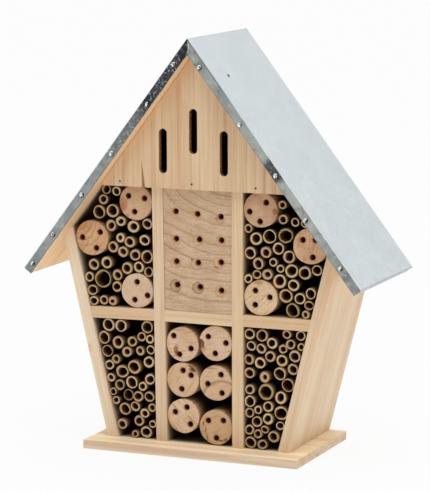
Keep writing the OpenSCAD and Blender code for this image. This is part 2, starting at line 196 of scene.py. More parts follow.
def useGroup(tree, group, values):
    return addNode(tree, "ShaderNodeGroup", values, node_tree=groups[group]).outputs


def newMaterial(name, rough, specular=0.5, metallic=0.0):
    material = bpy.data.materials.new(name)
    material.use_nodes = True
    tree = material.node_tree
    tree.nodes.clear()
    shader = addNode(tree, "ShaderNodeBsdfPrincipled", {
        "Roughness": rough, "Specular IOR Level": specular, "Metallic": metallic})
    addNode(tree, "ShaderNodeOutputMaterial", {"Surface": shader.outputs[0]})
    return material, tree, shader


def bumpUp(shader, height, strength, distance):
    bump = addNode(shader.id_data, "ShaderNodeBump", {
        "Height": height, "Strength": strength, "Distance": distance})
    connect(shader, {"Normal": bump.outputs[0]})


def objectPlace(tree, rotation=(0, 0, 0)):
    place = tree.nodes.new("ShaderNodeTexCoord").outputs["Object"]
    turned = addNode(tree, "ShaderNodeMapping", {"Vector": place, "Rotation": rotation})
    return turned.outputs["Vector"]


def surfaceNormal(tree):
    return axes(tree.nodes.new("ShaderNodeNewGeometry").outputs["Normal"])


def linear(red, green, blue):
    # from 0 to 255 steps on a display to linear light
    return tuple(v / 255 / 12.92 if v <= 10 else ((v / 255 + 0.055) / 1.055) ** 2.4
                 for v in (red, green, blue))


def addObject(name, data):
    item = bpy.data.objects.new(name, data)
    bpy.context.scene.collection.objects.link(item)
    return item


def cameraRay(tree):
    return tree.nodes.new("ShaderNodeLightPath").outputs["Is Camera Ray"]


def buildCamera():
    right, up = Vector(cameraRig["right"]).normalized(), Vector(cameraRig["up"])
    back = right.cross(up).normalized()
    up = back.cross(right)
    lens = bpy.data.cameras.new("camera")
    lens.lens = cameraRig["lens"]
    lens.sensor_width = 36
    lens.clip_end = 100
    camera = addObject("camera", lens)
    turn = Matrix((right, up, back)).transposed().to_4x4()
    camera.matrix_world = Matrix.Translation(cameraRig["place"]) @ turn
    bpy.context.scene.camera = camera


def buildStudio():
    scene = bpy.context.scene
    scene.view_settings.view_transform = "Standard"
    buildCamera()

    world = bpy.data.worlds.new("studioSky")
    scene.world = world
    world.use_nodes = True
    tree = world.node_tree
    horizon, overhead, power = studio["skyLight"]
    sky = tree.nodes["Background"]
    z = axes(tree.nodes.new("ShaderNodeTexCoord").outputs["Generated"])["Z"]
    rise = calc("POWER", calc("MAXIMUM", z, 0.0), power)
    glow = calc("MULTIPLY_ADD", rise, overhead, horizon)
    plain = times(cameraRay(tree), minus(1.0, glow))
    connect(sky, {"Color": studio["skyColour"], "Strength": plus(glow, plain)})

    for name, (place, size, power, colour) in studio["lamps"].items():
        light = bpy.data.lights.new(name, "AREA")
        light.size = size
        light.energy = power
        light.color = colour
        lamp = addObject(name, light)
        lamp.location = place
        toAim = Vector(studio["aim"]) - Vector(place)
        lamp.rotation_euler = toAim.to_track_quat("-Z", "Y").to_euler()
        lamp.visible_camera = False

    mesh = bpy.data.meshes.new("floor")
    reach = studio["floorReach"]
    corners = [(-reach, -reach, 0), (reach, -reach, 0), (reach, reach, 0), (-reach, reach, 0)]
    mesh.from_pydata(corners, [], [(0, 1, 2, 3)])
    floor = addObject("floor", mesh)
    material, tree, shader = newMaterial("floorPaint", 0.9, 0.0)
    glow = ramp(cameraRay(tree), 0.0, 1.0, studio["floorLight"], studio["floorGlow"], smooth=False)
    connect(shader, {"Base Color": studio["floorColour"], "Emission Color": (1, 1, 1),
                     "Emission Strength": glow})
    mesh.materials.append(material)
    print("studio done")


def growthRings(radius, width, seed, sharpness, edge, faintest, gain):
    # layers that darken outwards, each with its own strength
    turns = over(radius, width)
    phase = calc("FRACT", turns)
    layer = times(calc("POWER", phase, sharpness), ramp(phase, 1.0, edge))
    whim = addNode(treeOf(radius), "ShaderNodeTexWhiteNoise",
                   {"W": plus(calc("FLOOR", turns), seed)}, noise_dimensions="1D")
    strength = ramp(whim.outputs["Value"], 0.0, 1.0, faintest, 1.0, smooth=False)
    return times(times(layer, strength), gain, clamp=True)


def makeSawnGrain():
    # Growth layers around a far pith, with the fibres along local X.
    group, given, end = newGroup(
        "sawnGrain",
        {"Vector": None, "Ring Width": 0.004, "Pith Y": 0.05, "Pith Z": 0.05, "Wander": 0.004,
         "Band Width": 0.012, "Seed": 0.0},
        ["Latewood", "Fibre", "Blotch", "Band", "Line", "Height"])
    place, seed = given["Vector"], given["Seed"]
    bend = noiseAt(place, 2.0, 2.0, seed, (1.6, 9.0, 9.0), output="Color")
    moved = axes(vecCalc("ADD", place, jitter(bend, times(given["Wander"], 4.0))))
    radius = hypot(minus(moved["Y"], given["Pith Y"]), minus(moved["Z"], given["Pith Z"]))
    latewood = growthRings(radius, given["Ring Width"], seed, 2.6, 0.9, 0.25, 1.6)
    fibre = noiseAt(place, 1.0, 3.0, seed, (20.0, 900.0, 900.0), Roughness=0.6)
    finer = over(1.0, given["Band Width"])
    bands = addNode(group, "ShaderNodeCombineXYZ", {
        "X": times(finer, 0.03), "Y": finer, "Z": finer})
    connect(end, {
        "Latewood": latewood, "Fibre": fibre,
        "Blotch": noiseAt(place, 1.0, 3.0, seed, (4.0, 34.0, 34.0)),
        "Band": noiseAt(place, 1.0, 2.0, plus(seed, 40.0), bands.outputs[0]),
        "Line": noiseAt(place, 1.0, 1.0, plus(seed, 80.0), (5.0, 340.0, 340.0)),
        "Height": plus(times(fibre, 0.6), times(latewood, 0.4))})
    return group


def makeCutEnd():
    # Rings seen on a sawn end, with pores. The vector's X and Z lie on the end.
    group, given, end = newGroup(
        "cutEnd",
        {"Vector": None, "Ring Width": 0.003, "Pith": None, "Stretch": 1.0, "Wander": 0.002,
         "Saw Turn": 0.5, "Seed": 0.0},
        ["Ring", "Pore", "Blotch", "Saw"])
    seed = given["Seed"]
    flat = vecCalc("MULTIPLY", given["Vector"], (1.0, 0.0, 1.0))
    bend = noiseAt(flat, 26.0, 2.0, seed, output="Color")
    bent = vecCalc("ADD", flat, jitter(bend, times(given["Wander"], 4.0)))
    moved = axes(vecCalc("SUBTRACT", bent, given["Pith"]))
    radius = hypot(over(moved["X"], given["Stretch"]), moved["Z"])
    turned = addNode(group, "ShaderNodeVectorRotate",
                     {"Vector": flat, "Angle": given["Saw Turn"]}, rotation_type="Y_AXIS")
    connect(end, {
        "Ring": growthRings(radius, given["Ring Width"], seed, 7.0, 0.95, 0.35, 1.7),
        "Pore": noiseAt(flat, 1700.0, 2.0), "Blotch": noiseAt(flat, 42.0, 3.0, seed),
        "Saw": noiseAt(turned.outputs[0], 1.0, 2.0, stretch=(45.0, 0.0, 470.0))})
    return group


shelterFacts = {
    # the case's half width at the ground and how it grows with height
    "halfWidth": 0.094, "widening": 0.245,
    "floorTop": 0.0085, "front": -0.052, "back": 0.0585,
}


def makeInsideShade():
    # How far inside the case a point lies, for painted shade that darkens the wood there.
    group, given, end = newGroup("shelter", {"Vector": None, "Reach": 0.03}, ["Inside"])
    x, y, z = axes(given["Vector"])
    halfWidth = calc("MULTIPLY_ADD", z, shelterFacts["widening"], shelterFacts["halfWidth"])
    within = calc("LESS_THAN", calc("ABSOLUTE", x), halfWidth)
    above = calc("GREATER_THAN", z, shelterFacts["floorTop"])
    before = calc("LESS_THAN", y, shelterFacts["back"])
    deep = over(minus(y, shelterFacts["front"]), given["Reach"], clamp=True)
    inside = times(times(calc("POWER", deep, 0.6), within), times(above, before))
    connect(end, {"Inside": inside})
    return group


def makeSpot():
    # A round spot on the XZ plane with a soft rim, for knots, stains and tear-out.
    group, given, end = newGroup(
        "spot",
        {"Vector": None, "Centre": None, "Radius": 0.005, "Squash": (1.0, 0.0, 1.0),
         "Roughness": 0.15, "Softness": 0.15},
        ["Disc", "Rim"])
    place, softness = given["Vector"], given["Softness"]
    arm = vecCalc("MULTIPLY", vecCalc("SUBTRACT", place, given["Centre"]), given["Squash"])
    distance = over(vecCalc("LENGTH", arm), given["Radius"])
    ruffle = minus(noiseAt(place, 260.0, 2.0), 0.5)
    distance = plus(distance, times(ruffle, times(given["Roughness"], 4.0)))
    disc = over(minus(plus(1.0, softness), distance), times(softness, 2.0), clamp=True)
    offRim = over(calc("ABSOLUTE", minus(distance, 0.92)), plus(softness, 0.06))
    connect(end, {"Disc": disc, "Rim": minus(1.0, offRim, clamp=True)})
    return group


def makeSpangle():
    # Frosty crystals of hot-dip zinc, with broad dull patches.
    group, given, end = newGroup(
        "spangle", {"Vector": None, "Crystal Size": 0.004}, ["Crystal", "Patch", "Mottle", "Fleck"])
    place = given["Vector"]
    warped = vecCalc("ADD", place, jitter(noiseAt(place, 300.0, 2.0, output="Color"), 0.003))
    cells = addNode(group, "ShaderNodeTexVoronoi", {
        "Vector": warped, "Scale": over(1.0, given["Crystal Size"]), "Randomness": 1.0})
    tone = addNode(group, "ShaderNodeSeparateColor", {"Color": cells.outputs["Color"]})
    connect(end, {
        "Crystal": tone.outputs[0], "Patch": noiseAt(place, 22.0, 3.0),
        "Mottle": noiseAt(warped, 130.0, 3.0), "Fleck": noiseAt(place, 420.0, 2.0)})
    return group


groups = {"grain": makeSawnGrain(), "end": makeCutEnd(), "zinc": makeSpangle(),
          "shelter": makeInsideShade(), "spot": makeSpot()}


def paintSpot(base, centre, radius, colour, strength=1.0, squash=(1.0, 1.0), softness=0.2,
              roughness=0.15, rim=None, before=None):
    # centre is (x, z) in millimetres; a rim colour darkens the spot's edge
    tree = treeOf(base)
    place = objectPlace(tree)
    spot = useGroup(tree, "spot", {
        "Vector": place, "Centre": (centre[0] * mm, 0.0, centre[1] * mm), "Radius": radius * mm,
        "Squash": (1.0 / squash[0], 0.0, 1.0 / squash[1]), "Roughness": roughness,
        "Softness": softness})
    if before is not None:  # fades out behind this y
        strength = ramp(axes(place)["Y"], before + 2 * mm, before, 0.0, strength)
    base = blend(times(spot["Disc"], strength), base, colour)
    if rim:
        base = blend(times(spot["Rim"], rim[1]), base, rim[0])
    return base


def setColourWithInsideShade(shader, base, reach=0.014, strength=0.86):
    # painted shade: the colour darkens towards brown-black deeper inside the case
    tree = shader.id_data
    inside = useGroup(tree, "shelter", {"Vector": objectPlace(tree), "Reach": reach})["Inside"]
    connect(shader, {"Base Color": blend(times(inside, strength), base, (0.034, 0.015, 0.008))})


pineLooks = {
    "early": linear(226, 202, 170),
    "pale": linear(234, 213, 183),
    "warm": linear(221, 189, 153),
    "late": linear(201, 163, 122),
    "pink": linear(220, 183, 152),
    "ringStrength": 0.42,
    "lineStrength": 0.35,
    "pinkStrength": 0.75,
    "fibreStrength": 0.09,
    "bump": 0.15,
}


def pineMaterial(name, turn, seed, ringWidth=0.004, pith=(0.05, 0.06), wander=0.004,
                 bandWidth=0.012, looks=None):
    # turn brings the fibres onto local X
    looks = {**pineLooks, **(looks or {})}
    material, tree, shader = newMaterial(name, 0.62, 0.25)
    grain = useGroup(tree, "grain", {
        "Vector": objectPlace(tree, rotation=turn), "Ring Width": ringWidth, "Pith Y": pith[0],
        "Pith Z": pith[1], "Wander": wander, "Band Width": bandWidth, "Seed": float(seed)})
    band, line, weak = grain["Band"], grain["Line"], looks["lineStrength"]
    base = blend(ramp(grain["Blotch"], 0.38, 0.64), looks["warm"], looks["pale"])
    base = blendAll(base, [
        (0.45, looks["early"]),
        (ramp(band, 0.52, 0.66, 0.0, looks["pinkStrength"]), looks["pink"]),
        (ramp(band, 0.46, 0.34, 0.0, 0.6), looks["pale"]),
        (times(grain["Latewood"], looks["ringStrength"]), looks["late"]),
        (ramp(line, 0.55, 0.72, 0.0, weak), looks["late"]),
        (ramp(line, 0.45, 0.3, 0.0, weak), looks["pale"])])
    contrast = looks["fibreStrength"]
    base = shadeBy(base, ramp(grain["Fibre"], 0.3, 0.7, 1.0 - contrast, 1.0 + contrast * 0.4,
                              smooth=False))
    connect(shader, {"Roughness": ramp(grain["Fibre"], 0.2, 0.8, 0.72, 0.55)})
    bumpUp(shader, grain["Height"], looks["bump"], 0.0006)
    return material, shader, base


def mergedCopy(node, flatten=False):
    mesh = bmesh.new()
    mesh.from_mesh(nodes[node].data)
    bmesh.ops.remove_doubles(mesh, verts=mesh.verts, dist=1e-6)
    if flatten:
        bmesh.ops.dissolve_limit(mesh, angle_limit=math.radians(0.5), verts=mesh.verts,
                                 edges=mesh.edges)
    return mesh


def placePiece(name, mesh, replaced, materials):
    data = bpy.data.meshes.new(name)
    mesh.to_mesh(data)
    mesh.free()
    piece = addObject(name, data)
    for material in materials:
        data.materials.append(material)
    registerPiece(piece, replaced)
    return piece


def registerPiece(piece, replaced):
    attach(piece, "root")
    if replaced:
        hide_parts(*replaced)


def applyModifiers(piece):
    bpy.context.view_layer.update()
    shown = piece.evaluated_get(bpy.context.evaluated_depsgraph_get())
    mesh = bpy.data.meshes.new_from_object(shown)
    piece.modifiers.clear()
    old = piece.data
    piece.data = mesh
    mesh.name = piece.name
    bpy.data.meshes.remove(old)


def smoothFaces(piece, angle):
    piece.data.polygons.foreach_set("use_smooth", [True] * len(piece.data.polygons))
    piece.data.set_sharp_from_angle(angle=math.radians(angle))


def roundEdges(piece, width, angle):
    bevel = piece.modifiers.new("roundedEdges", "BEVEL")
    bevel.width = width
    bevel.segments = 2
    bevel.limit_method = "ANGLE"
    bevel.angle_limit = math.radians(angle)
    applyModifiers(piece)


def buildBoard(node, material, edge=0.5 * mm):
    mesh = mergedCopy(node, flatten=True)
    piece = placePiece(node + "_finished", mesh, [node], [material])
    roundEdges(piece, edge, 35)
    smoothFaces(piece, 40)
    points = [vert.co for vert in piece.data.vertices]
    for face in piece.data.polygons:  # broad faces stay truly flat beside their rounded edges
        ring = list(face.vertices)
        around = sum((points[a] - points[b]).length for a, b in zip(ring, ring[1:] + ring[:1]))
        if face.area > around * mm:
            face.use_smooth = False
    return piece


def tones(early, pale, warm, **more):
    return {"early": linear(*early), "pale": linear(*pale), "warm": linear(*warm), **more}


upright = (0, quarterTurn, 0)
level = (0, 0, 0)
golden = tones((223, 195, 156), (230, 205, 168), (219, 183, 143))
boardPlan = {
    "base_board": dict(turn=level, seed=3, ringWidth=0.0045, pith=(0.02, 0.09),
                       looks=tones((234, 214, 184), (240, 222, 196), (230, 204, 170))),
    "left_wall": dict(turn=(0, math.radians(90 + 13.1), 0), seed=8, ringWidth=0.005,
                      pith=(0.03, 0.11),
                      looks=tones((234, 212, 182), (240, 221, 194), (229, 200, 166),
                                  ringStrength=0.22, lineStrength=0.22)),
    "right_wall": dict(turn=(0, math.radians(90 - 14.4), 0), seed=12, ringWidth=0.009,
                       pith=(-0.02, 0.05), wander=0.006, bandWidth=0.024,
                       looks={"ringStrength": 0.5, "pink": linear(228, 192, 154),
                              "late": linear(210, 166, 122)}),
    "left_divider": dict(turn=upright, seed=21, ringWidth=0.0035, pith=(0.06, 0.02)),
    "right_divider": dict(turn=upright, seed=25, ringWidth=0.003, pith=(-0.05, 0.06), looks=golden),
    "left_shelf": dict(turn=level, seed=31, pith=(0.04, 0.05), looks=golden),
    "middle_shelf": dict(turn=level, seed=35, pith=(0.05, 0.08), looks=golden),
    "right_shelf": dict(turn=level, seed=38, pith=(0.03, 0.07), looks=golden),
    "ceiling_board": dict(turn=level, seed=41, pith=(0.03, 0.2)),
    "back_board": dict(turn=upright, seed=44, ringWidth=0.006, pith=(0.10, 0.1), bandWidth=0.02),
    "left_roof_board": dict(turn=(0, roofPitch, 0), seed=51, pith=(0.02, 0.1), bandWidth=0.02,
                            looks=tones((244, 214, 172), (245, 220, 182), (240, 204, 158),
                                        pink=linear(240, 200, 158))),
    "right_roof_board": dict(turn=(0, -roofPitch, 0), seed=55, pith=(0.03, 0.1)),
}


def buildBoards():
    for node, facts in boardPlan.items():
        material, shader, base = pineMaterial(node.replace("_", "") + "Pine", **facts)
        if node == "base_board":  # painted light: the upward faces lighter and the front darker, by the surface's direction
            upward = surfaceNormal(treeOf(base))["Z"]
            paintedTopLight = blend(ramp(upward, 0.3, 0.8), (0.88, 0.82, 0.78), (1.22, 1.28, 1.25))
            base = blend(1.0, base, paintedTopLight, mode="MULTIPLY")
        if node == "left_wall":  # a small knot on its front edge
            base = paintSpot(base, (-125.2, 101.0), 3.2, linear(205, 158, 112), 0.55,
                             (1.0, 1.5), 0.5, before=shelterFacts["front"])
        # painted shade inside the case
        setColourWithInsideShade(shader, base)
        buildBoard(node, material)
    print("boards done")


gableLooks = tones(
    (219, 188, 152), (231, 204, 166), (213, 178, 138), late=linear(184, 140, 100),
    pink=linear(219, 170, 136), ringStrength=0.4, lineStrength=0.5, pinkStrength=0.5)
gableFacts = {
    # resin streak: x, lowest and highest z, width at the foot, in millimetres
    "streak": (-60.3, 276.0, 311.0, 2.9),
    "nailHoles": [(-84.2, 281.0), (-3.4, 281.7), (67.1, 281.0)],
    # middle and lower end of each slot, and half their width and their height
    "slots": [(-35.3, 291.5), (-1.5, 312.8), (32.3, 291.5)],
    "slotReach": 4.7,
    "slotHeight": 46.2,
    # the line where the roof boards' undersides meet the panel: fall per metre and top
    "roofFall": -1.3032,
    "roofTop": 0.4167,
    "roofCos": 0.609,
}


def buildGable():
    material, shader, base = pineMaterial(
        "gablePine", upright, 62, ringWidth=0.0062, pith=(0.05, 0.03), bandWidth=0.013,
        looks=gableLooks)
    acrossX, _, height = axes(objectPlace(treeOf(base)))
    x, foot, top, wide = gableFacts["streak"]
    rise = ramp(height, foot * mm, top * mm, smooth=False)
    paintedLightSide = times(minus(1.0, rise), 3 * mm)
    off = calc("ABSOLUTE", minus(minus(acrossX, x * mm), paintedLightSide))
    reach = times(minus(1.02, rise), wide * mm)
    core = ramp(minus(times(reach, 0.4), off), 0.0, 0.0005)
    base = blendAll(base, [(times(ramp(minus(reach, off), 0.0, 0.0012), 0.8), linear(176, 126, 88)),
                           (times(core, 0.7), linear(116, 66, 40))])
    for hole in gableFacts["nailHoles"]:
        base = paintSpot(base, hole, 1.2, linear(66, 46, 32), 0.85, softness=0.3, roughness=0.05)
    # a warmer band along the left roof line, and a painted shade line where it meets the roof
    # boards
    slant = calc("MULTIPLY_ADD", calc("ABSOLUTE", acrossX),
                 gableFacts["roofFall"], gableFacts["roofTop"])
    gap = times(minus(slant, height), gableFacts["roofCos"])
    leftSide = calc("LESS_THAN", acrossX, -2 * mm)
    base = blendAll(base, [
        (times(leftSide, ramp(gap, 9 * mm, 1 * mm, 0.0, 0.55)), linear(230, 186, 134)),
        (ramp(gap, 1.4 * mm, 0.5 * mm, 0.0, 0.42), linear(142, 94, 58))])
    # painted shade inside the case
    setColourWithInsideShade(shader, base, reach=0.02)
    panel = buildBoard("gable_panel", material)
    # the slots' side walls get painted shade, darker deeper in
    panel.data.materials.append(holeMaterial("slotWall", -0.0605, 0.03, linear(214, 158, 104)))
    for face in panel.data.polygons:
        x, z = face.center.x / mm, face.center.z / mm
        for middle, foot in gableFacts["slots"]:
            if (abs(x - middle) < gableFacts["slotReach"] and abs(face.normal.y) < 0.8
                    and foot - 0.2 < z < foot + gableFacts["slotHeight"]):
                face.material_index = 1
    print("gable done")


def cutWood(name, pith, seed, ringWidth, looks, stretch=1.0, wander=0.002, sawTurn=0.5):
    material, tree, shader = newMaterial(name, 0.78, 0.15)
    place, dark = objectPlace(tree), looks["dark"]
    rings = useGroup(tree, "end", {
        "Vector": place, "Ring Width": ringWidth, "Pith": pith, "Stretch": stretch,
        "Wander": wander, "Saw Turn": sawTurn, "Seed": float(seed)})
    base = blend(ramp(rings["Blotch"], 0.35, 0.66), looks["light"], looks["tan"])
    grit = noiseAt(place, 560.0, 3.0)
    base = blendAll(base, [
        (ramp(rings["Saw"], 0.50, 0.68, 0.0, looks["sawStrength"]), dark),
        (times(rings["Ring"], looks["ringStrength"]), dark),
        (ramp(grit, 0.52, 0.7, 0.0, looks["gritStrength"]), dark)])
    base = shadeBy(base, ramp(rings["Pore"], 0.35, 0.65, 0.84, 1.07, smooth=False))
    bumpUp(shader, plus(rings["Saw"], times(rings["Pore"], 0.6)), 0.3, 0.0004)
    return material, shader, base


holeLooks = {
    "mouth": linear(196, 122, 76),
    # the colour of the painted shade deep in a hole
    "deep": linear(112, 58, 32),
    "reach": 13 * mm,
}


def holeMaterial(name, mouthY, reach=holeLooks["reach"], mouth=holeLooks["mouth"]):
    # Drilled walls: torn, browned fibres at the mouth, and painted shade that darkens them deeper
    # in.
    material, tree, shader = newMaterial(name, 0.9, 0.05)
    place = objectPlace(tree)
    tear = noiseAt(place, 900.0, 2.0)
    # painted shade: darker with depth into the hole
    deep = over(minus(axes(place)["Y"], mouthY), reach, clamp=True)
    base = blend(ramp(tear, 0.35, 0.65), mouth, linear(82, 46, 27))
    connect(shader, {"Base Color": blend(calc("POWER", deep, 0.6), base, holeLooks["deep"])})
    bumpUp(shader, tear, 0.4, 0.0004)
    return material


def assignHoles(piece, holes, radius, slotIndex):
    # holes: (x, z) in millimetres
    for face in piece.data.polygons:
        centre = face.center
        for x, z in holes:
            off = math.hypot(centre.x - x * mm, centre.z - z * mm)
            if off < radius * 1.02 * mm and abs(face.normal.y) < 0.9:
                face.material_index = slotIndex
                break


logLooks = {
    "light": linear(222, 190, 160),
    "tan": linear(212, 176, 142),
    "dark": linear(180, 136, 100),
    "ringStrength": 0.2,
    "sawStrength": 0.45,
    "gritStrength": 0.5,
    "skin": linear(212, 176, 134),
    "holeRadius": 3.0,
    "edgeRound": 0.5 * mm,
}
rust, umber, bark = linear(168, 104, 70), linear(120, 74, 48), linear(84, 44, 32)
# looks that differ from the usual, saw direction, and spots:
# (x, z), radius, colour, strength, squash, softness
logCharacter = {
    "upper_left_log_1": dict(
        saw=0.35, pith=(-66, 262), tan=linear(204, 164, 126), light=linear(214, 177, 140),
        spots=[
            ((-84.5, 255.5), 6.2, linear(178, 126, 86), 0.85, (0.95, 1.25), 0.16),
            ((-86.0, 253.0), 3.2, rust, 0.55, (0.9, 1.3), 0.4),
            ((-80.0, 244.5), 2.4, umber, 0.35, (1.0, 1.0), 0.5),
            ((-58.0, 268.0), 4.0, linear(200, 142, 110), 0.4, (1.2, 0.8), 0.6),
        ]),
    "upper_left_log_2": dict(
        saw=0.9, pith=(-131, 233), ringWidth=5.5, ringStrength=0.75, wander=5.0,
        light=linear(220, 177, 134), tan=linear(211, 164, 120), dark=linear(158, 104, 66),
        spots=[
            ((-133.0, 231.0), 5.5, linear(206, 140, 92), 0.5, (1.6, 0.8), 0.5),
        ]),
    "upper_left_log_3": dict(
        saw=1.3, pith=(-66, 170), light=linear(223, 193, 164), tan=linear(217, 185, 154),
        ringStrength=0.06, sawStrength=0.15,
        spots=[
            ((-54.6, 158.0), 3.0, linear(206, 160, 124), 0.5, (0.7, 1.6), 0.5),
        ]),
    "upper_right_log_1": dict(
        saw=0.2, pith=(70, 262), light=linear(211, 176, 142), tan=linear(200, 160, 124),
        spots=[
            ((84.5, 257.0), 3.0, linear(140, 84, 58), 0.85, (0.85, 1.1), 0.2),
            ((84.0, 250.0), 5.0, linear(178, 128, 92), 0.5, (0.5, 1.6), 0.5),
            ((63.0, 273.0), 3.4, rust, 0.3, (1.5, 0.6), 0.6),
            ((72.0, 268.0), 4.5, linear(196, 148, 108), 0.35, (1.4, 0.8), 0.6),
        ]),
    "upper_right_log_2": dict(
        saw=1.5, pith=(126, 300), ringWidth=2.4, ringStrength=0.5, light=linear(226, 188, 148),
        tan=linear(214, 172, 132), dark=linear(170, 116, 78), sawStrength=0.6, spots=[]),
    "upper_right_log_3": dict(
        saw=0.75, pith=(73, 171), light=linear(230, 203, 166), tan=linear(220, 190, 150),
        sawStrength=0.5, ringStrength=0.08, dark=linear(178, 142, 100),
        spots=[
            ((66.5, 183.5), 3.2, linear(176, 124, 56), 0.75, (1.4, 0.7), 0.35),
        ]),
    "lower_log_1": dict(
        saw=0.12, pith=(-22, 108), sawStrength=0.6, light=linear(225, 195, 164),
        spots=[
            ((-25.2, 106.8), 3.4, linear(150, 88, 50), 0.85, (0.8, 1.4), 0.35),
            ((-24.0, 104.0), 1.8, bark, 0.7, (0.9, 1.2), 0.4),
            ((-24.0, 128.2), 3.8, linear(176, 128, 92), 0.55, (2.2, 0.25), 0.5),
            ((-7.8, 115.0), 3.2, linear(196, 146, 104), 0.4, (0.3, 1.4), 0.6),
        ]),
    "lower_log_2": dict(
        saw=1.0, pith=(-14, 78), light=linear(222, 190, 156), tan=linear(216, 180, 142),
        spots=[
            ((-5.2, 87.8), 4.2, bark, 0.95, (1.2, 0.8), 0.25),
            ((-10.0, 91.0), 1.6, bark, 0.9, (1.4, 0.6), 0.3),
            ((-3.4, 83.5), 2.4, linear(180, 120, 84), 0.5, (0.6, 1.3), 0.5),
        ]),
    "lower_log_3": dict(
        saw=2.4, pith=(-16, 41), sawStrength=0.75, light=linear(230, 200, 166),
        tan=linear(222, 188, 152),
        spots=[
            ((-33.0, 30.0), 3.8, linear(214, 160, 124), 0.5, (0.5, 1.8), 0.5),
        ]),
    "lower_log_4": dict(
        saw=0.15, pith=(22, 118), light=linear(224, 193, 162), sawStrength=0.3,
        spots=[
            ((2.6, 115.2), 5.2, bark, 0.92, (0.8, 1.05), 0.16),
            ((3.6, 115.4), 1.4, linear(150, 84, 58), 0.7, (0.9, 1.2), 0.3),
            ((5.2, 110.5), 2.6, linear(188, 126, 96), 0.5, (1.0, 1.2), 0.5),
        ]),
    "lower_log_5": dict(
        saw=0.3, pith=(22, 66), ringWidth=9.0, ringStrength=0.1, crack=((27, 53.5), 26.2),
        light=linear(219, 186, 150), tan=linear(212, 174, 138),
        spots=[
            ((12.0, 90.6), 4.2, linear(120, 92, 86), 0.6, (1.7, 0.22), 0.5),
        ]),
    "lower_log_6": dict(
        saw=0.5, pith=(20, 33), light=linear(212, 176, 136), tan=linear(204, 166, 126),
        spots=[
            ((5.2, 31.5), 1.6, linear(110, 70, 40), 0.8, (0.7, 1.6), 0.3),
            ((7.6, 25.0), 1.5, linear(124, 82, 48), 0.7, (0.6, 2.6), 0.4),
            ((9.4, 16.5), 1.6, linear(124, 82, 48), 0.7, (0.6, 2.4), 0.4),
            ((25.0, 15.0), 1.4, linear(110, 66, 38), 0.8, (2.0, 0.6), 0.4),
            ((30.0, 16.0), 1.6, linear(110, 66, 38), 0.7, (1.2, 1.0), 0.4),
        ]),
}
logHoles = {
    "upper_left_log_1": [(-78.5, 265), (-60.3, 263.3), (-71.7, 248.8)],
    "upper_left_log_2": [(-132, 218.7), (-111.5, 225.3), (-116, 208.2)],
    "upper_left_log_3": [(-69.5, 175.3), (-57.7, 161.8), (-72.3, 156.4)],
    "upper_right_log_1": [(75.2, 266), (57, 255.8), (68.4, 246.3)],
    "upper_right_log_2": [(115, 230.2), (125.7, 213), (128.5, 230.8)],
    "upper_right_log_3": [(63.2, 175), (79, 169), (63, 160.2)],
    "lower_log_1": [(-28.3, 121.5), (-8.8, 109.3), (-21.8, 102.3)],
    "lower_log_2": [(-17.8, 85.7), (-8.8, 81.2), (-19.3, 66)],
    "lower_log_3": [(-27, 41), (-13.7, 47), (-9.8, 29.3)],
    "lower_log_4": [(10.7, 123.4), (30.5, 118), (18.5, 106.3)],
    "lower_log_5": [(24.8, 84.5), (10, 73.7), (25.8, 65.2)],
    "lower_log_6": [(10.5, 35), (27.3, 36.3), (19.5, 17.2)],
}


def logSkinMaterial():
    # The peeled round side, with fine lengthwise lines.
    material, tree, shader = newMaterial("peeledSide", 0.6, 0.2)
    streak = noiseAt(objectPlace(tree), 1.0, 3.0, stretch=(420.0, 9.0, 420.0))
    base = blend(ramp(streak, 0.35, 0.7), logLooks["skin"], linear(190, 148, 104))
    bumpUp(shader, streak, 0.2, 0.0004)
    # painted shade on the log sides inside the case
    setColourWithInsideShade(shader, base, reach=0.022, strength=0.93)
    return material


def logEndMaterial(index, node, character):
    looks = {**logLooks, **{key: value for key, value in character.items() if key in logLooks}}
    pith = Vector((character["pith"][0] * mm, 0, character["pith"][1] * mm))
    material, shader, base = cutWood(
        "logEnd%02d" % (index + 1), pith, index * 3.7, character.get("ringWidth", 2.6) * mm, looks,
        wander=character.get("wander", 1.2) * mm, sawTurn=character["saw"])
    for spot in character["spots"]:
        base = paintSpot(base, *spot, roughness=0.3)
    if "crack" in character:  # a curved shake through the end grain
        centre, wide = character["crack"]
        base = paintSpot(base, centre, wide, logLooks["tan"], 0.15, softness=0.02, roughness=0.02,
                         rim=(umber, 0.62))
    for hole in logHoles[node]:
        base = paintSpot(base, hole, 3.7, umber, 0.45, softness=0.25, roughness=0.12)
    connect(shader, {"Base Color": base})
    return material


def buildLogs():
    side = logSkinMaterial()
    holeWall = holeMaterial("drilledLogWall", shelterFacts["front"])
    for index, (node, character) in enumerate(logCharacter.items()):
        low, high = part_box(node)
        middle = (low + high) / 2
        radius = (high.x - low.x) / 2
        material = logEndMaterial(index, node, character)
        mesh = mergedCopy(node, flatten=True)
        for vert in mesh.verts:  # a peeled log is never quite round
            arm = Vector((vert.co.x - middle.x, 0, vert.co.z - middle.z))
            if arm.length > radius * 0.97:
                sway = noise.noise(arm.normalized() * 1.3 + Vector((index * 7.1, 0, 0)))
                vert.co -= arm.normalized() * (0.2 + 0.5 * sway) * mm
        piece = placePiece(node + "_finished", mesh, [node], [material, side, holeWall])
        roundEdges(piece, logLooks["edgeRound"], 50)
        for face in piece.data.polygons:
            reach = math.hypot(face.center.x - middle.x, face.center.z - middle.z)
            face.material_index = 1 if reach > radius * 0.96 and abs(face.normal.y) < 0.3 else 0
        assignHoles(piece, logHoles[node], logLooks["holeRadius"], 2)
        smoothFaces(piece, 40)
    print("logs done")


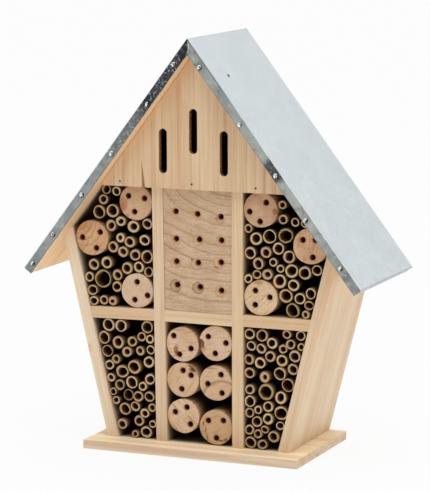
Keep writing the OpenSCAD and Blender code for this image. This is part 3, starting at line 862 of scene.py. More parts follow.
blockLooks = {
    "light": linear(216, 187, 154),
    "tan": linear(204, 173, 139),
    "dark": linear(146, 112, 84),
    "gritStrength": 0.35,
    "ringStrength": 0.62,
    "sawStrength": 0.25,
    # tone of the torn disc round a hole and of its rim
    "pinkDisc": (linear(216, 174, 140), linear(160, 112, 78)),
    "greyDisc": (linear(184, 152, 124), linear(122, 90, 70)),
    # (x, z), radius, colour, strength, squash, softness, roughness
    "spots": [
        ((22, 246.6), 2.0, rust, 0.5, (1.6, 0.8), 0.4, 0.4),
        ((-6.6, 202.5), 1.2, linear(120, 74, 52), 0.8, (1.0, 1.0), 0.4, 0.3),
        ((20.5, 196.6), 1.6, linear(132, 82, 58), 0.7, (1.8, 0.6), 0.4, 0.15),
    ],
    "pith": (28, 312),
    "ringWidth": 10.2,
    "holeRadius": 3.0,
    # (x, z), how far the torn ring lies off the hole, its radius, greyness
    "holes": [
        ((-24.3, 252), (-0.6, -2.2), 4.6, 0.0), ((0, 250.5), (-0.6, -2.0), 4.6, 0.1),
        ((26, 249), (-0.9, -2.4), 4.6, 0.1),
        ((-24, 223.5), (-0.8, -1.4), 5.4, 0.0), ((2, 224.3), (-1.6, -1.6), 5.6, 0.1),
        ((26.5, 224.8), (-1.0, -1.2), 5.4, 0.0),
        ((-23.7, 200), (-1.0, -1.4), 5.6, 0.2), ((0.5, 200), (-1.6, -1.5), 5.8, 0.3),
        ((26, 202), (-2.6, -1.2), 5.8, 0.1),
        ((-23, 175.7), (-1.8, -1.2), 6.2, 0.9), ((2.5, 175), (-2.0, -1.2), 6.2, 0.8),
        ((26.3, 172.8), (-1.2, -1.2), 5.8, 0.1),
    ],
}


def buildBlock():
    pith = Vector((blockLooks["pith"][0] * mm, 0, blockLooks["pith"][1] * mm))
    material, shader, base = cutWood("blockEndGrain", pith, 5, blockLooks["ringWidth"] * mm,
                                     blockLooks, stretch=1.14, wander=0.004, sawTurn=0.05)
    tree = treeOf(base)
    fine = useGroup(tree, "end", {
        "Vector": objectPlace(tree), "Ring Width": 0.0036, "Pith": pith, "Stretch": 1.14,
        "Wander": 0.004, "Saw Turn": 0.05, "Seed": 5.0})
    base = blend(times(fine["Ring"], 0.3), base, blockLooks["dark"])
    for (x, z), (dx, dz), radius, greyness in blockLooks["holes"]:
        disc, rim = blockLooks["greyDisc" if greyness > 0.5 else "pinkDisc"]
        base = paintSpot(base, (x + dx, z + dz), radius, disc, 0.75, softness=0.14, roughness=0.2,
                         rim=(rim, 0.6 + 0.25 * greyness))
        base = paintSpot(base, (x - 0.3, z - 0.6), 3.9, linear(150, 92, 56), 0.6, softness=0.22,
                         roughness=0.16)
    for spot in blockLooks["spots"]:
        base = paintSpot(base, *spot)
    # painted shade on the block inside the case
    setColourWithInsideShade(shader, base, reach=0.05, strength=0.6)
    piece = buildBoard("drilled_block", material, edge=0.4 * mm)
    piece.data.materials.append(holeMaterial("drilledBlockWall", -0.053))
    assignHoles(piece, [spot[0] for spot in blockLooks["holes"]], blockLooks["holeRadius"], 1)
    print("block done")


caneLooks = {
    "around": 26,
    "rim": linear(216, 192, 150),
    "rimTan": linear(196, 163, 122),
    "rimOlive": linear(168, 150, 98),
    "edge": linear(112, 90, 54),
    "bark": linear(148, 121, 76),
    "skin": linear(150, 118, 72),
    "skinGreen": linear(112, 104, 56),
    # painted shade down the skins and deep in the bores, with the distances over which it falls
    "shade": linear(30, 16, 8),
    "shadeReach": 11 * mm,
    "inside": linear(158, 106, 66),
    "paintedBoreShade": linear(38, 24, 15),
    "boreReach": 20 * mm,
    # the greenest canes, by the place of their centre (x, z) in millimetres
    "greenOnes": [(96.3, 233.3), (103.7, 156.8), (-94.6, 91.6), (-91.3, 64.2), (-81.1, 54.3),
                  (75, 70.5), (-109, 176)],
}


def islandsOf(mesh):
    left = set(mesh.verts)
    while left:
        heap = [left.pop()]
        island = []
        while heap:
            vert = heap.pop()
            island.append(vert.co.copy())
            for edge in vert.link_edges:
                other = edge.other_vert(vert)
                if other in left:
                    left.remove(other)
                    heap.append(other)
        yield np.array(island)


def measureCanes(names):
    canes = []
    for node in names:
        mesh = mergedCopy(node)
        for points in islandsOf(mesh):
            low, high = points.min(0), points.max(0)
            centre = (low + high) / 2
            mouth = points[points[:, 1] < low[1] + 1e-5]
            bore = np.hypot(mouth[:, 0] - centre[0], mouth[:, 2] - centre[2]).min()
            every = np.hypot(points[:, 0] - centre[0], points[:, 2] - centre[2])
            inner = points[every < bore * 1.01 + 1e-6]
            canes.append({
                "centre": (centre[0], low[1], centre[2]), "outerRadius": (high[0] - low[0]) / 2,
                "boreRadius": bore, "caneLength": high[1] - low[1],
                "boreDepth": inner[:, 1].max() - low[1]})
        mesh.free()
    # the same order every run
    canes.sort(key=lambda cane: (round(cane["centre"][2], 4), round(cane["centre"][0], 4)))
    return canes


caneShares = ["boreShare", "outerShare", "extraRadius", "depthShare", "lengthShare", "extraY",
              "jointShare", "mouthShare", "wallPlace"]
# One closed cane as stations from the bottom of the bore to the back. Each says
# what share it takes of each size, in the order of caneShares, and its surface.
caneStations = [
    (0.0, 0.0, 0.0, 1.0, 0.0, 0.0, 0.0, 0.0, 0.0, 2),
    (1.0, 0.0, 0.0, 1.0, 0.0, 0.0, 0.0, 0.0, 0.0, 2),
    (1.0, 0.0, 0.0, 0.2, 0.0, 0.0, 0.0, 0.2, 0.0, 2),
    (1.0, 0.0, 0.0, 0.0, 0.0, 0.7 * mm, 0.0, 1.0, 0.0, 2),
    (1.0, 0.0, 0.05 * mm, 0.0, 0.0, 0.15 * mm, 0.0, 1.0, 0.0, 2),
    (0.92, 0.08, 0.08 * mm, 0.0, 0.0, 0.0, 0.0, 1.0, 0.08, 1),
    (0.66, 0.34, 0.0, 0.0, 0.0, 0.03 * mm, 0.0, 1.0, 0.34, 1),
    (0.34, 0.66, 0.0, 0.0, 0.0, 0.03 * mm, 0.0, 1.0, 0.66, 1),
    (0.08, 0.92, -0.05 * mm, 0.0, 0.0, 0.0, 0.0, 1.0, 0.92, 1),
    (0.0, 1.0, 0.0, 0.0, 0.0, 0.22 * mm, 0.0, 1.0, 1.0, 1),
    (0.0, 1.0, 0.0, 0.0, 0.0, 2.0 * mm, 0.0, 0.6, 1.0, 0),
    (0.0, 1.0, 0.0, 0.0, 0.0, -3.0 * mm, 1.0, 0.0, 1.0, 0),
    (0.0, 1.0, -0.25 * mm, 0.0, 0.0, -0.6 * mm, 1.0, 0.0, 1.0, 0),
    (0.0, 1.0, 0.10 * mm, 0.0, 0.0, 0.6 * mm, 1.0, 0.0, 1.0, 0),
    (0.0, 1.0, 0.0, 0.0, 0.0, 3.0 * mm, 1.0, 0.0, 1.0, 0),
    (0.0, 1.0, 0.0, 0.0, 1.0, -0.3 * mm, 0.0, 0.0, 1.0, 0),
    (0.0, 1.0, -0.3 * mm, 0.0, 1.0, 0.0, 0.0, 0.0, 1.0, 1),
    (0.0, 0.0, 0.0, 0.0, 1.0, 0.0, 0.0, 0.0, 0.4, 1),
]


def addAttribute(mesh, label, column, kind="FLOAT", domain="POINT"):
    layer = mesh.attributes.new(label, kind, domain)
    layer.data.foreach_set("vector" if kind == "FLOAT_VECTOR" else "value", column)


def unitCane():
    around = caneLooks["around"]
    lastRow = len(caneStations) - 1
    verts, faces, surfaces = [], [], []
    values = {label: [] for label in [*caneShares, "turnAngle"]}
    for row, station in enumerate(caneStations):
        for step in range(around):
            angle = 2 * math.pi * step / around
            verts.append((math.cos(angle), row * 0.1, math.sin(angle)))
            values["turnAngle"].append(angle)
            for label, value in zip(caneShares, station):
                values[label].append(value)
    for row in range(lastRow):
        surface = 1 if 4 <= row < 9 or row > 14 else 0
        if row < 4:
            surface = max(caneStations[row][9], caneStations[row + 1][9])
        for step in range(around):
            a, b = row * around + step, row * around + (step + 1) % around
            faces.append((a, b, b + around, a + around))
            surfaces.append(surface)
    mesh = bpy.data.meshes.new("unitCane")
    mesh.from_pydata(verts, [], faces)
    for label, column in values.items():
        addAttribute(mesh, label, column)
    addAttribute(mesh, "surface", surfaces, "INT", "FACE")
    return addObject("unitCane", mesh)


def namedValue(tree, label, kind="FLOAT"):
    node = addNode(tree, "GeometryNodeInputNamedAttribute", {"Name": label}, data_type=kind)
    return node.outputs["Attribute"]


def enabled(sockets):
    return [socket for socket in sockets if socket.enabled]


def randomValue(low, high, key, seed):
    node = addNode(treeOf(key), "FunctionNodeRandomValue", {"ID": key, "Seed": seed},
                   data_type="FLOAT")
    for socket, value in zip(enabled(node.inputs), (low, high)):
        if isSocket(value):
            node.id_data.links.new(value, socket)
        else:
            socket.default_value = value
    return enabled(node.outputs)[0]


def newMaker(name, inputs):
    # a geometry node tree; inputs: label, and a kind of socket or a starting value
    tree = bpy.data.node_groups.new(name, "GeometryNodeTree")
    for label, start in {"Geometry": "Geometry", **inputs}.items():
        kind = start if isinstance(start, str) else "Int" if isinstance(start, int) else "Float"
        socket = tree.interface.new_socket(label, in_out="INPUT", socket_type="NodeSocket" + kind)
        if not isinstance(start, str):
            socket.default_value = start
    tree.interface.new_socket("Geometry", in_out="OUTPUT", socket_type="NodeSocketGeometry")
    return tree, tree.nodes.new("NodeGroupInput").outputs, tree.nodes.new("NodeGroupOutput")


def stamp(tree, unit, values):
    # real copies of a unit object on every point
    shape = addNode(tree, "GeometryNodeObjectInfo", {"Object": unit}).outputs["Geometry"]
    stamped = addNode(tree, "GeometryNodeInstanceOnPoints", {"Instance": shape, **values})
    solid = addNode(tree, "GeometryNodeRealizeInstances", {"Geometry": stamped.outputs[0]})
    return solid.outputs[0]


def caneTree():
    tree, given, end = newMaker("caneMaker", {
        "Unit Cane": "Object", "Oval": 0.035, "Bore Oval": 0.12, "Bore Wear": 1.13,
        "Bore Offset": 0.14, "Unevenness": 0.05, "Saw Slant": 0.05, "Seed": 4,
        "Skin": "Material", "Cut": "Material", "Inside": "Material"})
    solid = stamp(tree, given["Unit Cane"], {"Points": given["Geometry"]})
    key = namedValue(tree, "caneNumber", "INT")
    angle = namedValue(tree, "turnAngle")
    outer, bore = namedValue(tree, "outerRadius"), namedValue(tree, "boreRadius")
    cosine, sine = calc("COSINE", angle), calc("SINE", angle)
    fullTurn = 6.28

    def draw(low, high, offset):
        return randomValue(low, high, key, plus(given["Seed"], offset))

    def lobed(size, amount, offset):
        # an oval whose long side points anywhere
        turned = minus(angle, draw(0.0, fullTurn / 2, offset))
        swell = times(calc("COSINE", times(turned, 2.0)), times(amount, draw(0.1, 1.0, offset + 1)))
        return times(size, plus(swell, 1.0))

    def total(shares):
        # the sum of each share times its size
        parts = [namedValue(tree, label) if size is None else times(namedValue(tree, label), size)
                 for label, size in shares.items()]
        value = parts[0]
        for part in parts[1:]:
            value = plus(value, part)
        return value

    ring = addNode(tree, "ShaderNodeCombineXYZ", {"X": cosine, "Y": times(key, 3.7), "Z": sine})
    rough = minus(noiseAt(ring.outputs[0], 1.6, 2.0), 0.5)
    uneven = times(rough, times(given["Unevenness"], 2.0))
    outerNow = times(lobed(times(outer, 0.995), given["Oval"], 11), plus(uneven, 1.0))
    boreNow = lobed(times(bore, given["Bore Wear"]), given["Bore Oval"], 23)
    boreNow = times(boreNow, plus(times(uneven, 3.0), 1.0))
    boreNow = calc("MINIMUM", boreNow, times(outerNow, 0.84))

    radius = total({"boreShare": boreNow, "outerShare": outerNow, "extraRadius": None})
    deep = total({"depthShare": namedValue(tree, "boreDepth"),
                  "lengthShare": namedValue(tree, "caneLength"),
                  "extraY": None, "jointShare": draw(0.012, 0.075, 31)})
    tip = plus(calc("COSINE", minus(angle, draw(0.0, fullTurn, 41))), 1.0)
    slant = times(times(radius, given["Saw Slant"]), tip)
    deep = plus(deep, times(slant, namedValue(tree, "mouthShare")))
    offset = times(times(minus(outer, bore), given["Bore Offset"]), namedValue(tree, "boreShare"))
    offsetTurn = draw(0.0, fullTurn, 47)
    local = addNode(tree, "ShaderNodeCombineXYZ", {
        "X": plus(times(radius, cosine), times(offset, calc("COSINE", offsetTurn))), "Y": deep,
        "Z": plus(times(radius, sine), times(offset, calc("SINE", offsetTurn)))})
    place = vecCalc("ADD", local.outputs[0], namedValue(tree, "caneCentre", "FLOAT_VECTOR"))
    moved = addNode(tree, "GeometryNodeSetPosition", {"Geometry": solid, "Position": place})
    fused = addNode(tree, "GeometryNodeMergeByDistance", {
        "Geometry": moved.outputs[0], "Distance": 1e-6})
    shape = addNode(tree, "GeometryNodeSetShadeSmooth", {"Geometry": fused.outputs[0]}).outputs[0]
    for number, label in enumerate(("Skin", "Cut", "Inside")):
        same = addNode(tree, "FunctionNodeCompare", data_type="INT", operation="EQUAL")
        first, second = enabled(same.inputs)[:2]
        tree.links.new(namedValue(tree, "surface", "INT"), first)
        second.default_value = number
        shape = addNode(tree, "GeometryNodeSetMaterial", {
            "Geometry": shape, "Selection": same.outputs[0], "Material": given[label]}).outputs[0]
    connect(end, {"Geometry": shape})
    return tree


def runMaker(piece, tree, values):
    modifier = piece.modifiers.new(tree.name, "NODES")
    modifier.node_group = tree
    for socket in tree.interface.items_tree:
        if socket.item_type == "SOCKET" and socket.in_out == "INPUT" and socket.name in values:
            modifier[socket.identifier] = values[socket.name]
    applyModifiers(piece)


def attribute(tree, label):
    return addNode(tree, "ShaderNodeAttribute", attribute_name=label).outputs["Fac"]


def caneMaterials():
    def depthFrom(tree, reach, power):
        deep = over(plus(axes(objectPlace(tree))["Y"], 51.5 * mm), reach, clamp=True)
        return calc("POWER", deep, power)

    looks = caneLooks
    skin, tree, shader = newMaterial("caneSkin", 0.42, 0.3)
    streak = noiseAt(objectPlace(tree), 1.0, 3.0, stretch=(500.0, 14.0, 500.0))
    base = blend(ramp(attribute(tree, "caneTone"), 0.45, 0.95), looks["skin"], looks["skinGreen"])
    # lengthwise streaks, and painted shade further back along the skin
    base = blendAll(base, [(ramp(streak, 0.4, 0.75, 0.0, 0.5), linear(96, 66, 36)),
                           (depthFrom(tree, looks["shadeReach"], 0.7), looks["shade"])])
    connect(shader, {"Base Color": base})
    bumpUp(shader, streak, 0.15, 0.0003)

    cut, tree, shader = newMaterial("caneCut", 0.75, 0.15)
    place = objectPlace(tree)
    fibres = addNode(tree, "ShaderNodeTexVoronoi", {"Vector": place, "Scale": 2300.0})
    fibres = fibres.outputs["Distance"]
    wall, tone = attribute(tree, "wallPlace"), attribute(tree, "caneTone")
    base = blend(ramp(tone, 0.05, 0.6), looks["rim"], looks["rimTan"])
    base = blendAll(base, [
        (ramp(tone, 0.80, 1.0), looks["rimOlive"]),
        (ramp(noiseAt(place, 260.0, 2.0), 0.5, 0.72, 0.0, 0.45), looks["rimTan"]),
        (ramp(fibres, 0.15, 0.5, 0.25, 0.0), looks["bark"]),
        (ramp(wall, 0.56, 0.94, 0.0, 0.9), looks["edge"]),
        (ramp(wall, 0.34, 0.02, 0.0, 0.8), looks["bark"])])
    connect(shader, {"Base Color": base})
    bumpUp(shader, fibres, 0.25, 0.0002)

    inside, tree, shader = newMaterial("caneInside", 0.85, 0.08)
    streak = noiseAt(objectPlace(tree), 1.0, 2.0, stretch=(700.0, 30.0, 700.0))
    base = blend(ramp(streak, 0.35, 0.7), looks["inside"], linear(92, 60, 35))
    # painted shade deeper in the bore
    base = blend(depthFrom(tree, looks["boreReach"], 0.8), base, looks["paintedBoreShade"])
    connect(shader, {"Base Color": base})
    return {"Skin": skin, "Cut": cut, "Inside": inside}


def caneTone(x, z, number):
    tone = (math.sin(number * 12.9898 + 4.0) * 43758.5453) % 1.0 * 0.8
    for greenX, greenZ in caneLooks["greenOnes"]:
        if math.hypot(x / mm - greenX, z / mm - greenZ) < 2.5:
            tone = 1.0
    return tone


def buildCanes():
    unit = unitCane()
    tree = caneTree()
    settings = {"Unit Cane": unit, **caneMaterials()}
    count = 0
    for name in ("upper_left", "upper_right", "lower_left", "lower_right"):
        starts = (name + "_canes", name + "_wide")
        members = sorted(node for node in nodes if node.startswith(starts))
        canes = measureCanes(members)
        numbers = list(range(count, count + len(canes)))
        mesh = bpy.data.meshes.new(name + "_canes")
        mesh.from_pydata([cane["centre"] for cane in canes], [], [])
        for label in ("outerRadius", "boreRadius", "caneLength", "boreDepth"):
            addAttribute(mesh, label, [cane[label] for cane in canes])
        addAttribute(mesh, "caneTone", [caneTone(cane["centre"][0], cane["centre"][2], number)
                                        for cane, number in zip(canes, numbers)])
        addAttribute(mesh, "caneNumber", numbers, "INT")
        addAttribute(mesh, "caneCentre", [v for cane in canes for v in cane["centre"]],
                     "FLOAT_VECTOR")
        piece = addObject(name + "_canes_finished", mesh)
        runMaker(piece, tree, settings)
        registerPiece(piece, members)
        count += len(canes)
    bpy.data.objects.remove(unit)
    print("canes done:", count)


sheetLooks = {
    "top": linear(223, 231, 234),
    "topShade": linear(218, 227, 230),
    "lip": linear(172, 178, 169),
    "lipBlue": linear(140, 151, 154),
    # the colours of the lips' painted dark reflections and of their painted glints
    "lipDarkReflection": linear(34, 38, 46),
    "bright": linear(204, 210, 214),
    "bend": 1.0 * mm,
    "bendSteps": 4,
    "thickness": 0.8 * mm,
    "lipDepth": 10 * mm,
    "foldDepth": 9 * mm,
    "alongSteps": 90,
    "acrossSteps": 24,
    "wave": 0.25 * mm,
    # painted dark reflections on the front lips, by distance down the slope in millimetres
    "leftLipReflection": [(0, 1.0), (84, 0.92), (100, 0.5), (150, 0.44), (185, 0.3), (308, 0.26)],
    "rightLipReflection": [(0, 0.20), (26, 0.16), (30, 0.55), (40, 0.14), (144, 0.12), (150, 0.85),
                  (168, 0.95), (176, 0.10), (184, -0.1), (200, 0.0), (212, 0.26), (224, 0.05),
                  (262, 0.16), (285, 0.46), (300, 0.3), (308, 0.55)],
    # share of the lip that the bend takes, and how uneven the lip's depth and face are
    "bendShare": 0.12,
    "lipSway": 0.35 * mm,
    "lipDent": 0.22 * mm,
}


def toneRamp(distance, stops):
    # straight steps between (millimetres, value) stops
    total = float(stops[0][1])
    for (startAt, before), (endAt, after) in zip(stops, stops[1:]):
        part = ramp(distance, startAt * mm, endAt * mm, 0.0, after - before, smooth=False)
        total = plus(total, part)
    return total


def zincMaterial():
    looks = sheetLooks
    material, tree, shader = newMaterial("zincSheet", 0.5, metallic=0.3)
    place = tree.nodes.new("ShaderNodeTexCoord").outputs["Object"]
    small = useGroup(tree, "zinc", {"Vector": place, "Crystal Size": 0.0018})
    large = useGroup(tree, "zinc", {"Vector": place, "Crystal Size": 0.006})
    along, lipShare = attribute(tree, "alongSlope"), attribute(tree, "lipShare")
    top = blend(ramp(large["Patch"], 0.35, 0.65), looks["top"], looks["topShade"])
    # spangle crystals, and painted shade where the sheet bends down over the eave
    top = blendAll(top, [(times(large["Crystal"], 0.10), linear(198, 208, 212)),
                         (ramp(along, 0.3064, 0.3078, 0.0, 0.6), linear(120, 126, 132))])
    # lips: a mottled grey with painted dark reflections along their length, and painted glints on
    # crystals in the dark stretches
    isLeft = calc("LESS_THAN", axes(place)["X"], 0.0014)
    tone = addNode(tree, "ShaderNodeMix", {
        0: isLeft, 2: toneRamp(along, looks["rightLipReflection"]), 3: toneRamp(along, looks["leftLipReflection"])})
    tone = tone.outputs[0]
    sway = times(minus(large["Patch"], 0.5), 0.9)
    dark = plus(tone, times(sway, ramp(tone, 0.0, 0.3, 0.2, 1.0)), clamp=True)
    paintedGlint = times(ramp(small["Crystal"], 0.60, 0.9), ramp(small["Fleck"], 0.46, 0.6))
    lip = blend(ramp(small["Crystal"], 0.2, 0.9, 0.0, 0.35), looks["lip"], looks["lipBlue"])
    lip = blendAll(lip, [
        (ramp(large["Patch"], 0.5, 0.68, 0.0, 0.6), looks["lipBlue"]),
        (times(isLeft, 0.55), linear(158, 165, 170)),
        (dark, looks["lipDarkReflection"]),
        (ramp(small["Mottle"], 0.46, 0.3, 0.0, 0.45), linear(84, 92, 100)),
        (ramp(small["Mottle"], 0.54, 0.7, 0.0, 0.4), linear(192, 198, 194)),
        (times(paintedGlint, ramp(dark, 0.1, 0.7, 0.10, 0.6)), looks["bright"]),
        (ramp(along, -0.004, -0.016), linear(212, 214, 212)),  # the curled edge, a painted highlight
        (ramp(lipShare, 0.90, 1.0, 0.0, 0.6), linear(90, 84, 90))])  # the cut edge
    onLip = ramp(lipShare, 0.0, 0.10)
    # a dark line along the upper fold near the ridge, and a painted highlight along the fold lower
    # down
    started = ramp(lipShare, 0.0, 0.04)
    seam = times(times(started, ramp(lipShare, 0.16, 0.08)), ramp(along, 0.10, 0.05))
    foldHighlight = times(times(started, ramp(lipShare, 0.14, 0.06)), ramp(along, 0.12, 0.14))
    base = blendAll(blend(onLip, top, lip), [(times(seam, 0.8), linear(70, 74, 76)),
                                             (times(foldHighlight, 0.7), linear(236, 240, 240))])
    connect(shader, {
        "Base Color": base, "Roughness": ramp(small["Crystal"], 0.0, 1.0, 0.42, 0.6),
        "Metallic": calc("MULTIPLY_ADD", onLip, ramp(dark, 0.2, 0.8, 0.0, 0.4), 0.3)})
    bumpUp(shader, large["Patch"], 0.10, 0.002)
    return material


def ripple(x, y, z):
    return noise.noise(Vector((x, y, z)))


def buildSheet():
    low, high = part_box("roof_sheet")
    ridge, run = high.z, high.x
    pitch = roofPitch
    slopeLength = run / math.cos(pitch)
    bend, depth, fold = sheetLooks["bend"], sheetLooks["lipDepth"], sheetLooks["foldDepth"]
    bends = sheetLooks["bendSteps"]

    # rows run from the front lip's edge over the top to the rear one's edge:
    # y, drop, and how far down the lip
    bendShare = sheetLooks["bendShare"]
    rows = [(low.y, bend + (depth - bend) * share, bendShare + (1 - bendShare) * share)
            for share in (1.0, 0.75, 0.5, 0.25, 0.0)]
    for step in range(1, bends + 1):
        a = math.pi / 2 * step / bends
        rows.append((low.y + bend * (1 - math.cos(a)), bend * (1 - math.sin(a)),
                     bendShare * (1 - step / bends)))
    flat = sheetLooks["acrossSteps"]
    front, rear = low.y + bend, high.y - bend
    rows += [(front + (rear - front) * step / flat, 0.0, 0.0) for step in range(1, flat)]
    mirrored = [(high.y - (y - low.y), drop, share) for y, drop, share in rows[:5 + bends]]
    rows += mirrored[::-1]

    # columns run down the slope to the fold over the eave
    steps = sheetLooks["alongSteps"]
    columns = [((slopeLength - bend) * step / steps, 0.0) for step in range(steps + 1)]
    for step in range(1, bends + 1):
        a = math.pi / 2 * step / bends
        columns.append((slopeLength - bend + bend * math.sin(a), bend * (1 - math.cos(a))))
    columns += [(slopeLength, bend + (fold - bend) * share) for share in (0.35, 0.7, 1.0)]

    material = zincMaterial()
    for side, name in ((1, "right"), (-1, "left")):
        mesh = bmesh.new()
        alongLayer = mesh.verts.layers.float.new("alongSlope")
        lipLayer = mesh.verts.layers.float.new("lipShare")
        grid = []
        for y, drop, lipShare in rows:
            line = []
            onLip = drop > bend * 0.99
            for s, edgeDrop in columns:
                below = drop if onLip else max(drop, edgeDrop)
                if lipShare == 0 and edgeDrop == 0 and s > 0.01:
                    below += sheetLooks["wave"] * (0.5 + 0.5 * ripple(s * 14, y * 14, side * 3.0))
                if onLip:
                    sway = sheetLooks["lipSway"] * ripple(s * 60, side * 5.0, 1.0)
                    below += sway * (drop / depth) - 0.1 * mm
                x = s * math.cos(pitch) - below * math.sin(pitch)
                z = ridge - s * math.sin(pitch) - below * math.cos(pitch)
                if x < 0:  # the two slopes meet at the middle plane
                    x, z = 0.0, ridge - below / math.cos(pitch)
                push = 0.0
                if onLip:
                    dent = ripple(s * 45, side * 9.0, below * 200)
                    push = sheetLooks["lipDent"] * (0.5 + 0.5 * dent)
                vert = mesh.verts.new((side * x, y + (push if y < 0 else -push), z))
                vert[alongLayer] = s
                vert[lipLayer] = lipShare
                line.append(vert)
            grid.append(line)
        for r in range(len(rows) - 1):
            for c in range(len(columns) - 1):
                onFold = columns[c + 1][1] > bend * 1.01
                if onFold and max(rows[r][1], rows[r + 1][1]) > 0:
                    continue  # the corner is cut out so that lip and fold can turn
                corners = [grid[r][c], grid[r][c + 1], grid[r + 1][c + 1], grid[r + 1][c]]
                spots = {tuple(round(v, 7) for v in corner.co) for corner in corners}
                if len(spots) > 2:
                    mesh.faces.new(corners if side > 0 else corners[::-1])
        bmesh.ops.remove_doubles(mesh, verts=mesh.verts, dist=2e-6)
        bmesh.ops.recalc_face_normals(mesh, faces=mesh.faces)
        bmesh.ops.delete(mesh, geom=[v for v in mesh.verts if not v.link_faces], context="VERTS")
        top = max(mesh.faces, key=lambda f: f.calc_area() if abs(f.normal.y) < 0.1 else 0)
        if top.normal.z < 0:
            bmesh.ops.reverse_faces(mesh, faces=mesh.faces)
        if side < 0:
            addRidgeTab(mesh, alongLayer, lipLayer, low.y, ridge)
        piece = placePiece(name + "_roof_slope", mesh, [], [material])
        wall = piece.modifiers.new("sheetThickness", "SOLIDIFY")
        wall.thickness = sheetLooks["thickness"]
        wall.offset = -1
        applyModifiers(piece)
        smoothFaces(piece, 50)
    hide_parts("roof_sheet")
    print("sheet done")


def addRidgeTab(mesh, alongLayer, lipLayer, frontY, ridge):
    # The left lip laps over the right one at the ridge, with a curled edge.
    for face, sign in ((frontY - 0.9 * mm, -1), (-frontY + 0.7 * mm, 1)):
        rows = []
        for step in range(9):
            share = step / 8
            fall = (2.2 + 13.4 * share) * mm
            z = ridge - fall
            bulge = 2.4 * mm * math.sin(math.pi * (0.16 + 0.70 * share)) - 0.2 * mm
            edge = 0.8 * mm - fall / math.tan(roofPitch)
            row = []
            for x, y in ((edge, face + sign * -0.8 * mm), (edge * 0.5, face), (bulge * 0.55, face),
                         (bulge, face + sign * -0.25 * mm)):
                vert = mesh.verts.new((x, y, z))
                vert[alongLayer] = 0.004 if x < bulge * 0.9 else -0.03
                vert[lipLayer] = 0.5
                row.append(vert)
            rows.append(row)
        for upper, lower in zip(rows, rows[1:]):
            for c in range(3):
                corners = [upper[c], lower[c], lower[c + 1], upper[c + 1]]
                mesh.faces.new(corners if sign < 0 else corners[::-1])


nailLooks = {
    "around": 18,
    # dome profile: share of the radius, share of the height
    "profile": [(1.0, 0.0), (1.03, 0.22), (0.96, 0.42), (0.78, 0.72), (0.5, 0.92), (0.24, 1.0),
                (0.0, 1.0)],
    "shank": 0.35,
    "spread": 1.14,
    "tilt": 7.0,
    # the colours of the bright heads' painted highlight and painted shade
    "shine": linear(238, 240, 240),
    "dark": linear(52, 52, 54),
    # how far each kind of head stands up
    "heights": {"lip_nails": 1.25 * mm, "sheet_nails": 0.55 * mm},
}


def unitNail():
    # One nail head with its outer side towards +Z and a short shank below.
    around = nailLooks["around"]
    rows = [(nailLooks["shank"], -2.6), (nailLooks["shank"], 0.0), *nailLooks["profile"]]
    angles = [2 * math.pi * k / around for k in range(around)]
    mesh = bmesh.new()
    rings = []
    for radius, height in rows:
        spokes = angles if radius else angles[:1]
        rings.append([mesh.verts.new((radius * math.cos(a), radius * math.sin(a), height))
                      for a in spokes])
    mesh.faces.new(rings[0][::-1])
    for lower, upper in zip(rings, rings[1:]):
        for k in range(around):
            n = (k + 1) % around
            tops = upper if len(upper) == 1 else (upper[n], upper[k])
            mesh.faces.new((lower[k], lower[n], *tops))
    data = bpy.data.meshes.new("unitNail")
    mesh.to_mesh(data)
    mesh.free()
    return addObject("unitNail", data)


def nailTree():
    tree, given, end = newMaker("nailSetter", {
        "Nail": "Object", "Tilt": 0.1, "Hammer Dents": 0.0002, "Seed": 2, "Steel": "Material"})
    aim = addNode(tree, "FunctionNodeAlignRotationToVector", {
        "Vector": namedValue(tree, "nailAim", "FLOAT_VECTOR")}, axis="Z")
    key, tilt, seed = namedValue(tree, "nailNumber", "INT"), given["Tilt"], given["Seed"]
    swing = [randomValue(times(tilt, -1.0), tilt, key, plus(seed, step)) for step in (0, 7)]
    turn = addNode(tree, "ShaderNodeCombineXYZ", {
        "X": swing[0], "Y": swing[1], "Z": randomValue(0.0, 6.28, key, seed)})
    wobble = addNode(tree, "FunctionNodeRotateRotation", {0: aim.outputs[0], 1: turn.outputs[0]},
                     rotation_space="LOCAL")
    solid = stamp(tree, given["Nail"], {
        "Points": given["Geometry"], "Rotation": wobble.outputs[0],
        "Scale": namedValue(tree, "nailSize", "FLOAT_VECTOR")})
    here = tree.nodes.new("GeometryNodeInputPosition").outputs[0]
    push = jitter(noiseAt(here, 520.0, 1.0, output="Color"), given["Hammer Dents"])
    moved = addNode(tree, "GeometryNodeSetPosition", {"Geometry": solid, "Offset": push})
    shaded = addNode(tree, "GeometryNodeSetShadeSmooth", {"Geometry": moved.outputs[0]})
    done = addNode(tree, "GeometryNodeSetMaterial", {
        "Geometry": shaded.outputs[0], "Material": given["Steel"]})
    connect(end, {"Geometry": done.outputs[0]})
    return tree


def nailMaterial(name, colour, dark, rough):
    # Dull zinc with painted light: a painted highlight on faces turned left and up, and painted
    # shade on those turned right and down.
    material, tree, shader = newMaterial(name, rough, metallic=0.5)
    scuff = noiseAt(objectPlace(tree), 700.0, 2.0)
    x, _, z = surfaceNormal(tree)
    paintedLightSide = plus(minus(times(x, 0.8), times(z, 0.35)), times(minus(scuff, 0.5), 2.2))
    connect(shader, {"Base Color": blend(ramp(paintedLightSide, -0.08, 0.22), colour, dark),
                     "Roughness": ramp(scuff, 0.3, 0.7, rough * 0.7, rough * 1.3)})
    return material


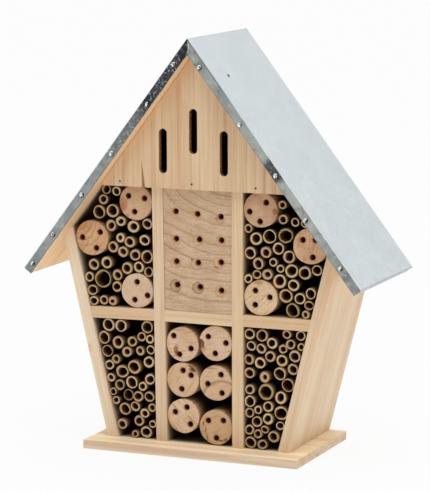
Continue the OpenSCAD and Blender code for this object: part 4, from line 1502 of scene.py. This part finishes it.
def buildNailHeads(name, node, aimOf, tree, unit, steel):
    heads = []
    mesh = mergedCopy(node)
    for points in islandsOf(mesh):
        aim = aimOf(points.min(0), points.max(0))
        reach = points @ aim
        crown = points[reach > reach.max() - 1e-5].mean(0)
        away = points - crown
        span = np.linalg.norm(away - np.outer(away @ aim, aim), axis=1).max()
        heads.append((crown, aim, span * nailLooks["spread"]))
    mesh.free()
    heads.sort(key=lambda head: tuple(np.round(head[0], 5)))
    height = nailLooks["heights"][node]
    sunk = height + 0.15 * mm  # a tilted head stays within the measured depth
    data = bpy.data.meshes.new(name)
    data.from_pydata([crown - aim * sunk for crown, aim, span in heads], [], [])
    addAttribute(data, "nailAim", [v for head in heads for v in head[1]], "FLOAT_VECTOR")
    addAttribute(data, "nailSize", [v for head in heads for v in (head[2], head[2], height)],
                 "FLOAT_VECTOR")
    addAttribute(data, "nailNumber", list(range(len(heads))), "INT")
    piece = addObject(name, data)
    tilt = math.radians(nailLooks["tilt"])
    runMaker(piece, tree, {"Nail": unit, "Steel": steel, "Tilt": tilt if height > mm else tilt / 3,
                           "Hammer Dents": height * 0.25})
    registerPiece(piece, [node])


def buildNails():
    bright = nailMaterial("hammeredZinc", nailLooks["shine"], nailLooks["dark"], 0.3)
    flat = nailMaterial("weatheredZinc", linear(90, 96, 100), linear(50, 54, 58), 0.5)
    dull = nailMaterial("dullSteel", linear(26, 19, 14), linear(15, 11, 9), 0.6)
    unit, tree = unitNail(), nailTree()

    def outwards(low, high):
        return np.array((0.0, -1.0 if low[1] < 0 else 1.0, 0.0))

    def offSlope(low, high):
        side = 1.0 if low[0] + high[0] > 0 else -1.0
        return np.array((side * math.sin(roofPitch), 0.0, math.cos(roofPitch)))

    buildNailHeads("lip_nail_heads", "lip_nails", outwards, tree, unit, bright)
    buildNailHeads("sheet_nail_heads", "sheet_nails", offSlope, tree, unit, flat)
    bpy.data.objects.remove(unit)
    for node, material in (("base_nails", bright), ("gable_nails", dull), ("back_nails", dull)):
        nodes[node].data.materials.clear()
        nodes[node].data.materials.append(material)
    print("nails done")


buildStudio()
buildBoards()
buildGable()
buildLogs()
buildBlock()
buildCanes()
buildSheet()
buildNails()
